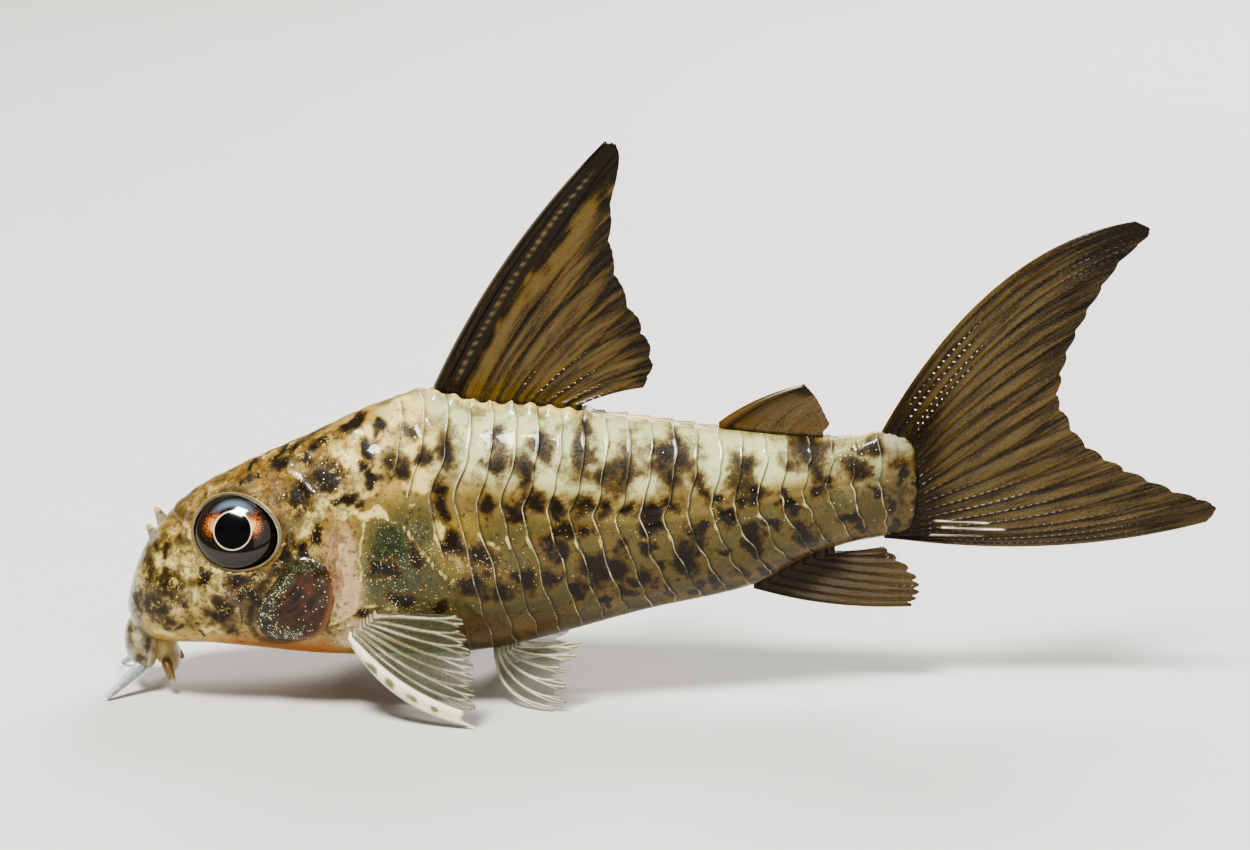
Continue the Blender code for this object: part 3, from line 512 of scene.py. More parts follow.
def plate_relief(ring, x, turn, rise, rim):
    """Height of the plates: each rises towards its rear edge, ends in a thin rim, and drops onto the next."""
    count = (ring - PLATE_START) / PLATE_PITCH
    part = count - np.floor(count + 1e-6)
    uneven = 0.8 + 0.6 * wobble(x, turn * 30, 1.1, 31)
    plate = rise * part**1.4 + rim * uneven * bump(part - 0.95, 0.030)
    groove = 1 - bump(turn - SEAM, SEAM_WIDE)
    knob = 0.15 * bump(part - 0.88, 0.09) * bump(turn - SEAM - 0.075, 0.018) * ease(x, 12.0, 9.0)
    on = plate_mask(x, turn)
    shallow = ease(x, 14.0, 4.0) * 0.45 + 0.55
    return (plate * groove * shallow + knob) * on - 0.05 * (1 - groove) * on * ease(turn, 0.9, 0.8)


def eye_reach(x, z):
    """1 on the rim of the eye, less inside it."""
    return np.hypot((x - EYE_PLACE[0]) / RIM_SIZE[0], (z - EYE_PLACE[2]) / RIM_SIZE[1])


def cover_reach(x, z):
    """1 on the edge of the gill cover, less inside it."""
    up = z - COVER_MIDDLE[1]
    return np.hypot((x - COVER_MIDDLE[0] - COVER_LEAN * up) / COVER_SIZE[0], up / COVER_SIZE[1])


def head_relief(x, z, turn):
    """Socket and rims of the eye, nostril, ridges of the cheek, the gill cover's groove and the shoulder."""
    eye = eye_reach(x, z)
    over = ease(z, EYE_PLACE[2] - 1.2, EYE_PLACE[2] + 0.6)
    wide = ease(side_depth(x, z), 1.7, 2.6)
    deep = 0.25 + 0.75 * np.maximum(wide, ease(z, EYE_PLACE[2] + 0.9, EYE_PLACE[2] + 0.3))
    height = -1.25 * deep * ease(eye, 0.93, 0.84)
    height += 0.035 * over * bump(eye - 1.10, 0.03)
    slit_x, slit_z = x - NOSTRIL_SLIT[0], z - NOSTRIL_SLIT[1]
    height -= 0.45 * bump(np.hypot(slit_x * 0.8 + slit_z * 0.5, slit_z), 0.22)
    cheek = patch(x, z, (-24.7, 7.75, 1.70, 0.13, -5))
    height += 0.13 * cheek - 0.08 * patch(x, z, (-24.7, 7.45, 1.7, 0.15, -5))
    height += 0.22 * patch(x, z, (-25.3, 5.6, 2.3, 1.9, 0)) + 0.12 * patch(x, z, (-27.4, 6.4, 0.8, 1.6, 0))
    cover = cover_reach(x, z)
    height -= 0.16 * bump(cover - 1.04, 0.055) + 0.12 * bump(cover - 1.20, 0.05) * ease(x, -19.0, -18.0)
    height += 0.16 * patch(x, z, (-17.35, 7.2, 0.45, 3.2, 5)) * ease(x, -18.6, -17.6)
    fin_ridge = 0.22 * patch(x, z, (-15.9, 4.75, 1.40, 0.28, 22))
    height += fin_ridge + 0.16 * patch(x, z, (-15.6, 5.45, 1.20, 0.15, 24))
    height += 0.10 * strokes(x, z, STROKES)
    shoulder_edge = (x + 12.2) * 0.80 + (z - 8.6) * 0.60
    height += 0.16 * bump(shoulder_edge, 0.16) * patch(x, z, (-12.2, 8.6, 0.9, 2.9, 37))
    height += 0.10 * patch(x, z, (-14.8, 8.6, 1.8, 2.4, -18))
    lumps = (0.55 + 0.45 * np.sin(2 * math.pi * x / 1.05 + 1)) * ease(x, -13.2, -12.4) * ease(x, -3.4, -4.4)
    height += 0.34 * lumps * bump(turn - 0.055, 0.035)
    height += 0.035 * wobble(x, z, 0.7, 36) * ease(x, -14.5, -16.0) * ease(z, 8.0, 10.5)
    ridge = 0.10 * bump(z - back(x) + 0.55, 0.16) * ease(x, -27.5, -26.0) * ease(x, -15.0, -16.5)
    nape = 0.18 * patch(x, z, (-12.9, 15.9, 0.30, 1.1, 40))
    return height * ease(turn, 0.985, 0.95) + ridge + nape


def skin_columns():
    """Place along the body and size of each ring: even on the head, set to each plate's edges behind it."""
    step = np.linspace(0, 1, HEAD_COLUMNS, endpoint=False)
    head = SNOUT + (HEAD_END - SNOUT) * step**1.2
    girdle = np.linspace(HEAD_END, PLATE_START, GIRDLE_COLUMNS, endpoint=False)
    plates = [PLATE_START + PLATE_PITCH * (k + part) for k in range(PLATE_COUNT) for part in PLATE_PARTS]
    body = [*head, *girdle, *plates, 12.95, STALK_END]
    places = [p for p, _ in SNOUT_CAP] + body + [p for p, _ in TAIL_CAP]
    sizes = [s for _, s in SNOUT_CAP] + [1.0] * len(body) + [s for _, s in TAIL_CAP]
    return np.array(places), np.array(sizes)


def skin_points(sizes_of):
    """Points of the skin with their place on the plates, as arrays of column by row."""
    ring, size = skin_columns()
    turn = np.concatenate([np.linspace(1, 0, ROWS + 1), np.linspace(0, 1, ROWS + 1)[1:]])
    side = np.where(np.arange(2 * ROWS + 1) < ROWS, -1.0, 1.0)
    ring, turn = np.meshgrid(ring, turn, indexing="ij")
    size = size[:, None]
    share = ease(ring, HEAD_END, PLATE_START) * ease(ring, 14.6, 13.0)
    inside = np.clip(ring, SNOUT, STALK_END + 0.1)
    wavy = 0.11 * wobble(turn * 14, ring * 0.9, 1.0, 38) * np.sin(math.pi * turn) * ease(ring, 12.5, 11.0)
    x = ring + share * (sweep(np.clip(ring, SNOUT, STALK_END), turn) + wavy)
    y, z = section(np.clip(np.where(ring > STALK_END, inside, x), SNOUT, 13.3), turn)
    middle = np.where(ring < 0, 4.70, 11.6)
    z = middle + (z - middle) * np.where(ring < 0, size, size**0.25)
    points = np.stack([x, side * y * size, z], -1)
    ahead, around = np.gradient(points, axis=0), np.gradient(points, axis=1)
    normal = np.cross(ahead, around)
    normal /= np.maximum(np.linalg.norm(normal, axis=-1, keepdims=True), 1e-9)
    relief = plate_relief(ring, x, turn, sizes_of.plate_rise / MM, sizes_of.rim_rise / MM)
    relief = (relief + head_relief(x, z, turn)) * ease(size, 0.6, 1.0)
    relief *= ease(x, -29.68, -29.3)
    points = points + normal * relief[..., None]
    points[:, 0] = points[:, -1] = (points[:, 0] + points[:, -1]) / 2
    points[0] = points[0].mean(0)
    points[-1, :, 1] = 0.0
    return points, ring, turn, np.broadcast_to(side, turn.shape)


def make_skin():
    """One skin from the snout to the tail stalk, with plates, sockets and all markings."""
    sizes = bpy.context.scene.catfish_skin
    points, ring, turn, side = skin_points(sizes)
    x, z = points[..., 0], points[..., 2]
    uv = np.stack([(ring - PLATE_START) / PLATE_PITCH, turn], -1)
    ground = np.ones((*x.shape, 4))
    clean = patch(x, z, (-14.3, 8.5, 1.9, 2.7, -18)) + patch(x, z, (-17.2, 7.4, 0.9, 3.0, 5))
    clean = clean + ease(z, 5.0, 3.5)
    ground[..., 3] = 1 - 0.9 * np.clip(clean, 0, 1)
    marks = np.zeros((*x.shape, 4))
    fine = np.zeros((*x.shape, 4))
    for near in (-1.0, 1.0):
        on = side == near
        spots = far_side_of(BLOTCHES + HEAD_BLOTCHES, near, 7)
        ivory = far_side_of(IVORY, near, 8)
        glitter = far_side_of(GLITTER, near, 9)
        here = x[on] + 0.26 * wobble(x[on], z[on], 0.8, 21) + 0.10 * wobble(x[on], z[on], 0.3, 22)
        high = z[on] + 0.26 * wobble(x[on], z[on], 0.8, 23) + 0.10 * wobble(x[on], z[on], 0.3, 24)
        on_top = ease(turn[on], 0.15, 0.05)
        here = here + 0.45 * on_top * wobble(x[on], points[..., 1][on], 1.1, 26)
        high = high + 0.35 * on_top * wobble(x[on], points[..., 1][on], 1.1, 27)
        ground[on, :3] = ground_colour(here, high, turn[on])
        marks[on, 0] = most(here, high, spots, 1.3)
        marks[on, 1] = 0.92 * most(here, high, ivory, 1.2)
        lines = strokes(x[on] + 0.08 * wobble(x[on], z[on], 0.5, 25), z[on], STROKES)
        marks[on, 1] = np.maximum(marks[on, 1], lines)
        marks[on, 2] = sum(np.array(place[5]) * patch(here, high, place) for place in glitter)
    part = uv[..., 0] - np.floor(uv[..., 0] + 1e-6)
    plated = plate_mask(x, turn)
    # Painted highlights: bright hooks where light catches the upper corner of each lower plate, and a thin
    # line along the back's ridge behind the dorsal fin and on the tail stalk; pale lumps lie along the dorsal
    # fin's base
    hook_highlight = bump(part - 0.90, 0.09) * bump(turn - SEAM - 0.075, 0.020) * ease(x, 10.0, 7.0)
    ridge_highlight = bump(turn, 0.035) * np.maximum(patch(x, 0 * x, (-0.8, 0, 2.6, 1, 0)), ease(x, 8.0, 9.2))
    foot = bump(turn - 0.055, 0.035) * ease(x, -13.4, -12.6) * ease(x, -3.4, -4.4)
    foot = foot * (0.7 + 0.3 * wobble(x, z, 0.5, 37))
    pale = np.maximum(np.maximum(0.95 * hook_highlight * plated, 0.9 * ridge_highlight), 0.95 * foot)
    marks[..., 1] = np.maximum(marks[..., 1], pale)
    marks[..., 3] = plated
    # Strength of the pale plate edges, partly painted highlight: patchy on the upper plates, strongest on the
    # lower plates near the hooks
    upper_line = 0.26 + 0.34 * wobble(x, z, 1.6, 33)
    lower_line = (0.46 + 0.54 * bump(turn - SEAM - 0.07, 0.10)) * (0.80 + 0.35 * wobble(x, z, 1.2, 34))
    fine[..., 3] = plated * np.clip(np.where(turn < SEAM - 0.02, upper_line, lower_line), 0, 1)
    end = ring + 0.22 * wobble(turn * 18, 0 * turn, 1.0, 35)
    marks[..., 0] = np.maximum(marks[..., 0], 0.9 * ease(end, 13.05, 13.5))
    eye = eye_reach(x, z)
    over = ease(z, EYE_PLACE[2] - 1.6, EYE_PLACE[2] + 1.0)
    fine[..., 0] = 0.16 * over * bump(eye - 1.10, 0.025) * ease(turn, 0.08, 0.16)
    # Painted shade: the groove round the gill plate, darker at the front, and the deep floor of the eye socket
    front = ease(x, -18.6, -20.6)
    fine[..., 1] = (0.25 + 0.5 * front) * bump(cover_reach(x, z) - 1.06, 0.10)
    fine[..., 1] = np.maximum(fine[..., 1], ease(eye, 0.92, 0.88) * ease(np.abs(points[..., 1]), 1.4, 2.3))
    brown = ease(x, -16.0, -19.0) * ease(z, 3.0, 6.0)
    freckled = -0.35 * ease(turn, 0.40, 0.34) * ease(x, -15.0, -13.0) + 0.82 * brown
    freckled = freckled + 0.35 * patch(x, z, (-15.0, 14.0, 3.0, 1.8, 15))
    fine[..., 2] = freckled + 0.08 * ease(turn, 0.36, 0.42)
    upper = ease(turn, 0.38, 0.32) * ease(x, -15.5, -13.0)
    faded = 0.22 * upper + 0.14 * ease(x, -15.5, -18.0) + 0.16 * ease(x, -25.0, -26.5)
    marks[..., 0] *= (1 - ease(eye, 1.05, 0.98)) * (1 - faded)
    piece = laid_grid("skin", points, uv)
    paint_points(piece, "ground", ground)
    paint_points(piece, "marks", marks)
    paint_points(piece, "fine", fine)
    close_seams(piece, 2e-6)
    dress(piece, wet_skin(), "plated_skin", "head", "trunk_front", "trunk_rear", "tail_stalk")
    return piece


def glints(tree, place, cell, wanted, least):
    """Round specks in some of many random cells: their mask, and a chance from 0 to 1 for the hue of each."""
    cells = add(tree, "TexVoronoi", {"Vector": place, "Scale": MM_PER_M / cell}).node.outputs
    chance = add(tree, "SeparateColor", {0: cells["Color"]}).node.outputs
    picked = add(tree, "Math", {0: chance[0], 1: wanted}, operation="LESS_THAN")
    size = add(tree, "Math", {0: chance[2], 1: 0.50, 2: least}, operation="MULTIPLY_ADD")
    round_spot = add(tree, "Math", {0: cells["Distance"], 1: size}, operation="LESS_THAN")
    return add(tree, "Math", {0: picked, 1: round_spot}, operation="MULTIPLY"), chance[1]


def wet_skin():
    """Live fish skin, wet, thin over bony plates: clear gloss over soft, cloudy colour, mineral glints."""
    colours = bpy.context.scene.catfish_skin
    material, tree, shader = new_material("wet_fish_skin")
    place = add(tree, "TexCoord").node.outputs["Object"]
    layers = ("ground", "marks", "fine")
    ground, marks, extra = (add(tree, "Attribute", attribute_name=layer) for layer in layers)
    cloudy, plated, beaded = (layer.node.outputs["Alpha"] for layer in (ground, marks, extra))
    split = add(tree, "SeparateColor", {0: marks}).node.outputs
    fine = add(tree, "SeparateColor", {0: extra}).node.outputs

    # Clouds of 0.9 mm and grain of 0.16 mm break up every edge, as pigment cells do; haze of 1.8 mm drifts
    # under them, and specks of 0.26 mm become freckles
    haze, clouds, grain, speck = (
        add(tree, "TexNoise", {
            "Vector": place, "Scale": MM_PER_M / size, "Detail": steps, "Roughness": rough})
        for size, steps, rough in ((1.8, 6.0, 0.6), (0.9, 5.0, 0.62), (0.16, 3.0, 0.6), (0.26, 2.0, 0.5)))
    both = add(tree, "Mix", {0: 0.35, 2: clouds, 3: grain})
    shift = add(tree, "MapRange", {0: both, 1: 0.30, 2: 0.70, 3: -0.5, 4: 0.5}, clamp=False)
    tone = add(tree, "MapRange", {0: both, 1: 0.32, 2: 0.68, 3: 0.66, 4: 1.16})
    skin = add(tree, "VectorMath", {0: ground, 1: tone}, operation="MULTIPLY")

    # Ivory patches, brown smoke, and blotches with a soft halo and a dark middle
    ivory = add(tree, "Math", {0: shift, 1: 0.55, 2: split[1]}, operation="MULTIPLY_ADD")
    blotch = add(tree, "Math", {0: shift, 1: 0.62, 2: split[0]}, operation="MULTIPLY_ADD")
    halo = add(tree, "Math", {0: haze, 1: 0.9, 2: blotch}, operation="MULTIPLY_ADD")
    smoke, ivory, halo, blotch, core = (
        add(tree, "MapRange", {0: field, 1: low, 2: high, 4: full}, interpolation_type="SMOOTHSTEP")
        for field, low, high, full in (
            (haze, 0.47, 0.68, 0.75), (ivory, 0.30, 0.66, 0.94), (halo, 0.42, 0.80, 0.62),
            (blotch, 0.20, 0.58, 0.92), (blotch, 0.40, 0.86, 0.94)))
    smoke, halo = (add(tree, "Math", {0: share, 1: cloudy}, operation="MULTIPLY") for share in (smoke, halo))

    # Small and large freckles and pale flecks, thick on the head and thin on the flank, and the plates' edges
    # with painted shade in the crease behind each
    small = add(tree, "Math", {0: fine[2], 1: 0.16, 2: speck}, operation="MULTIPLY_ADD")
    small = add(tree, "Math", {0: haze, 1: 0.30, 2: small}, operation="MULTIPLY_ADD")
    large = add(tree, "Math", {0: fine[2], 1: 0.22, 2: clouds}, operation="MULTIPLY_ADD")
    plates = add(tree, "SeparateXYZ", {0: add(tree, "UVMap", uv_map="UVMap")})
    part = add(tree, "Math", {0: plates}, operation="FRACT")
    small, large, fleck, rising, falling, crease_shade, beads = (
        add(tree, "MapRange", {0: field, 1: low, 2: high, 3: least, 4: full})
        for field, low, high, least, full in (
            (small, 0.76, 0.88, 0, 0.60), (large, 0.64, 0.78, 0, 0.55), (both, 0.45, 0.36, 0, 0.75),
            (part, 0.920, 0.955, 0, 1), (part, 0.995, 0.975, 0, 1), (part, 0.15, 0.0, 0, 1.1),
            (both, 0.44, 0.60, 0.05, 1)))
    freckle = add(tree, "Math", {0: small, 1: large}, operation="MAXIMUM")
    fleck = add(tree, "Math", {0: fleck, 1: fine[2]}, operation="MULTIPLY", use_clamp=True)

    # On the rear edge of each plate lies a pale beaded line, partly a painted highlight, with a painted shade
    # in the crease behind it
    line = rising
    for share in (falling, beads, beaded):
        line = add(tree, "Math", {0: line, 1: share}, operation="MULTIPLY")
    for share in (clouds, plated):
        crease_shade = add(tree, "Math", {0: crease_shade, 1: share}, operation="MULTIPLY")
    # Painted shade in the groove round the gill plate and in the eye socket
    dark = add(tree, "Math", {0: fine[1], 1: 0.85}, operation="MULTIPLY")

    for share, pigment in (
            (smoke, colours.haze), (ivory, colours.ivory), (halo, colours.haze), (blotch, colours.olive),
            (core, colours.umber), (freckle, colours.umber), (fleck, colours.ivory), (crease_shade, colours.umber),
            (line, colours.edge), (fine[0], colours.rim), (dark, colours.umber)):
        skin = add(tree, "Mix", {0: share, 6: skin, 7: pigment}, data_type="RGBA")

    # Glints on cells of 0.062 mm, in gold, white and green
    wanted = add(tree, "Math", {0: split[2], 1: 0.19}, operation="MULTIPLY")
    wanted = add(tree, "Math", {0: tone, 1: wanted}, operation="MULTIPLY")
    glint, chance = glints(tree, place, 0.062, wanted, 0.20)
    hue = add(tree, "ValToRGB", {0: chance})
    stops = hue.node.color_ramp.elements
    stops.new(0.5)
    for stop, glow in zip(stops, (colours.glint_green, colours.edge, colours.glint_gold)):
        stop.color = (*glow, 1)
    skin = add(tree, "Mix", {0: glint, 6: skin, 7: hue}, data_type="RGBA")

    # Pores and fine growth lines, under a smooth coat of water and slime
    rough = add(tree, "MapRange", {0: grain, 1: 0.3, 2: 0.7, 3: 0.32, 4: 0.52})
    height = add(tree, "Mix", {0: 0.6, 2: both, 3: grain})
    relief = add(tree, "Bump", {"Strength": 0.55, "Distance": 0.00005, "Height": height})
    fill(tree, shader, {
        "Base Color": skin, "Metallic": glint, "Roughness": rough, "IOR": 1.38, "Normal": relief,
        "Specular IOR Level": 0.22, "Coat Weight": 0.32, "Coat Roughness": 0.06,
        "Subsurface Weight": 0.12, "Subsurface Scale": 0.0006, "Subsurface Radius": (1.0, 0.6, 0.35),
    })
    return material


def bend_through(ends, share):
    """Points on the curve that starts, bends and ends at three places."""
    start, bend, end = np.array(ends, float)
    share = np.asarray(share, float)[..., None]
    control = 2 * bend - (start + end) / 2
    return (1 - share) ** 2 * start + 2 * share * (1 - share) * control + share**2 * end


def tube_points(path, across, deep, facing):
    """Rings round a path: across and deep are half sizes at each point, and facing is the way deep points."""
    along = np.gradient(path, axis=0)
    along /= np.linalg.norm(along, axis=1, keepdims=True)
    wide = np.cross(along, facing)
    wide /= np.linalg.norm(wide, axis=1, keepdims=True)
    thick = np.cross(wide, along)
    turn = np.linspace(0, 2 * math.pi, TUBE_SIDES)[None, :, None]
    level, up = (wide * across[:, None])[:, None], (thick * deep[:, None])[:, None]
    return path[:, None] + np.cos(turn) * level + np.sin(turn) * up


def tapered_tube(name, ends, widths, flat=1.0, facing=(0.0, 0.0, 1.0)):
    """A closed tube along a bent path, round at both ends. widths are its diameters at start and end."""
    share = (1 - np.cos(np.linspace(0, math.pi, TUBE_RINGS))) / 2
    path = bend_through(ends, share)
    length = np.linalg.norm(np.diff(path, axis=0), axis=1).sum()
    half = (widths[0] + (widths[1] - widths[0]) * share) / 2
    near = np.clip(np.minimum(share * length / half[0], (1 - share) * length / half[-1]), 0, 1)
    half = half * np.sqrt(1 - (1 - near) ** 2)
    return laid_grid(name, tube_points(path, half, half * flat, np.array(facing)))


def mirrored(place, side):
    return (place[0], side * place[1], place[2])


def make_gill_covers():
    """A raised plate on each cheek, with a rounded edge that follows the head."""
    material = pearly_gill_plate()
    edge = np.array(COVER_EDGE + COVER_EDGE[:1])
    rows = np.column_stack([np.arange(-3, len(edge) + 2), np.vstack([edge[-4:-1], edge, edge[1:3]])])
    outline = read(rows, np.linspace(0, len(edge) - 1, OUTLINE_POINTS))
    middle = outline[:-1].mean(0)
    reach = np.concatenate([np.linspace(0, 0.9, 30), 0.9 + 0.1 * np.sin(np.linspace(0, math.pi / 2, 11))[1:]])
    inside = reach[::-1][1:]
    for word, side in SIDES:
        front = middle + reach[:, None, None] * (outline - middle)
        level = (1 - reach[:, None] ** 6) ** 0.5
        x, z = front[..., 0], front[..., 1]
        waves = np.sin(1.9 * np.hypot(x + 22.0, z - 8.4) * 2 * math.pi / 1.5)
        ridges = 0.035 * waves * (1 - reach[:, None] ** 4)
        y = side_depth(x, z) - 0.13 + 0.30 * level + ridges
        rear = middle + inside[:, None, None] * (outline - middle)
        deep = side_depth(rear[..., 0], rear[..., 1]) - 0.10 - 0.55 * (1 - inside[:, None] ** 6) ** 0.5
        points = np.concatenate([np.stack([x, y, z], -1), np.stack([rear[..., 0], deep, rear[..., 1]], -1)])
        points[..., 1] *= side
        cover = laid_grid("gill_plate_" + word, points)
        flat = points[..., [0, 2]]
        paint = np.zeros((*flat.shape[:2], 4))
        share = np.concatenate([reach, inside])[:, None]
        paint[..., 0] = ease(np.broadcast_to(share, flat.shape[:2]), 0.74, 1.0)
        paint[..., 1] = strokes(flat[..., 0], flat[..., 1], (
            (((-21.7, 4.9), (-21.5, 6.0), (-20.8, 7.2), (-20.0, 8.2), (-18.9, 8.5)), 0.38, 1.0),
            (((-21.7, 4.9), (-20.9, 4.3), (-19.9, 4.5)), 0.40, 0.6),
            (((-18.5, 7.6), (-18.5, 6.4)), 0.25, 0.4)))
        paint[..., 2] = ease(flat[..., 0] - 0.5 * (flat[..., 1] - 6), -19.6, -17.8)
        paint_points(cover, "paint", paint)
        close_seams(cover)
        dress(cover, material, "gill_cover_skin", "gill_cover_" + word)


def make_mouth():
    """Fleshy lips with a lobe at each corner and a flap behind, fused into one soft piece."""
    deselect()
    balls = [
        (LIP_MIDDLE, LIP_SIZE), (FLAP_MIDDLE, FLAP_SIZE), ((-28.55, 0, 4.55), (1.06, 2.28, 1.60)),
        ((-27.80, 0, 2.55), (0.72, 1.45, 1.35)),
    ]
    made = []
    for middle, size in balls:
        deselect()
        bpy.ops.mesh.primitive_uv_sphere_add(segments=48, ring_count=24, radius=1)
        ball = bpy.context.object
        for vert in ball.data.vertices:
            vert.co = Vector([m + s * c for m, s, c in zip(middle, size, vert.co)]) * MM
        made.append(ball)
    for side in (-1, 1):
        lobe = [mirrored(place, side) for place in LOBE]
        made.append(tapered_tube("lobe", lobe, (1.5, 1.25), facing=(1.0, 0.0, 0.0)))
        close_seams(made[-1])
    deselect()
    for piece in made:
        piece.select_set(True)
    lips = bpy.context.view_layer.objects.active = made[0]
    bpy.ops.object.join()
    lips.name = lips.data.name = "lips"
    remesh = lips.modifiers.new("fuse", "REMESH")
    remesh.mode = "VOXEL"
    remesh.voxel_size = 0.06 * MM
    soften = lips.modifiers.new("soften", "SMOOTH")
    soften.iterations = 12
    soften.factor = 0.8
    choose(lips)
    for name in ("fuse", "soften"):
        bpy.ops.object.modifier_apply(modifier=name)
    bpy.ops.object.shade_smooth()
    count = len(lips.data.vertices)
    points, normals = np.empty(count * 3, np.float32), np.empty(count * 3, np.float32)
    lips.data.vertices.foreach_get("co", points)
    lips.data.vertex_normals.foreach_get("vector", normals)
    x, y, z = (points.reshape(-1, 3) / MM).T
    ahead = -normals.reshape(-1, 3)[:, 0]
    pale = 0.8 * bump(y, 0.30 + 0.15 * wobble(x, z, 0.6, 42)) * ease(ahead, 0.3, 0.8) * ease(z, 6.0, 4.5)
    fold = bump(z - 3.30 - 0.25 * (x + 27.9), 0.13)
    pale = np.maximum(pale, fold * ease(x, -28.5, -28.2) * ease(x, -27.3, -27.5))
    pale = np.maximum(pale, 0.7 * bump(x + 28.42 - 0.15 * (z - 2.0), 0.10) * ease(z, 3.2, 2.9))
    beige = ease(x, -28.40, -28.20) * ease(z, 3.45, 3.25)
    tint = np.stack([pale, beige, 0.5 + 0.5 * wobble(x, z, 0.5, 41), np.ones(count)], -1)
    layer = lips.data.attributes.new("paint", "FLOAT_COLOR", "POINT")
    layer.data.foreach_set("color", tint.reshape(-1).astype(np.float32))
    dress(lips, soft_lip(), "lip_skin", "lower_lip")


def make_barbels():
    """Four whiskers that run from the corners of the mouth to the floor."""
    material = whisker_skin()
    for word, side in SIDES:
        for level, ends, dark in (("upper", UPPER_BARBEL, 0.0), ("lower", LOWER_BARBEL, 1.0)):
            path = [mirrored(place, side) for place in ends]
            whisker = tapered_tube(f"whisker_{level}_{word}", path, (0.80, 0.28), facing=(0.0, 1.0, 0.0))
            share = np.linspace(0, 1, TUBE_RINGS)[:, None] * np.ones((1, TUBE_SIDES))
            line = np.abs(np.cos(np.linspace(0, 2 * math.pi, TUBE_SIDES)))[None, :] ** 5 + 0 * share
            paint = np.stack([share, np.full_like(share, dark), line, share * 0 + 1], -1)
            paint_points(whisker, "paint", paint)
            close_seams(whisker)
            dress(whisker, material, "barbel_skin", "barbel_" + level + "_" + word)


def make_nostril_flaps():
    """Little leaf-like flaps in front of the eyes."""
    material = bpy.data.materials["wet_fish_skin"]
    for word, side in SIDES:
        path = [mirrored(place, side) for place in NOSTRIL_FLAP]
        flap = tapered_tube("nostril_flap_" + word, path, (1.15, 0.30), 0.32, (0.3, 1.0, 0.0))
        blank = np.zeros((TUBE_RINGS, TUBE_SIDES, 4))
        paint_points(flap, "ground", blank + (*linear("a39b86"), 1))
        marks = blank.copy()
        marks[30:, :, 1] = 0.6
        paint_points(flap, "marks", marks)
        paint_points(flap, "fine", blank + (0, 0, 0.3, 1))
        close_seams(flap)
        dress(flap, material, "head_skin")


def ray_field(u, v, rays, width, first, second):
    """Nearness to a forked ray: 1 on its middle line. Rays fork at two shares of their length."""
    found = np.zeros_like(u)
    phase = np.zeros_like(u)
    gap = 1.0 / len(rays)
    for number, ray in enumerate(rays):
        for fork in (-1, 1):
            for twig in (-1, 1):
                at = ray + fork * gap * 0.23 * ease(v, first, 1.0)
                at = at + twig * gap * 0.115 * ease(v, second, 1.02)
                near = bump((u - at) * width[0], width[1])
                phase = np.where(near > found, number * 0.37 + (fork + 1) * 0.11, phase)
                found = np.maximum(found, near)
    return found, phase


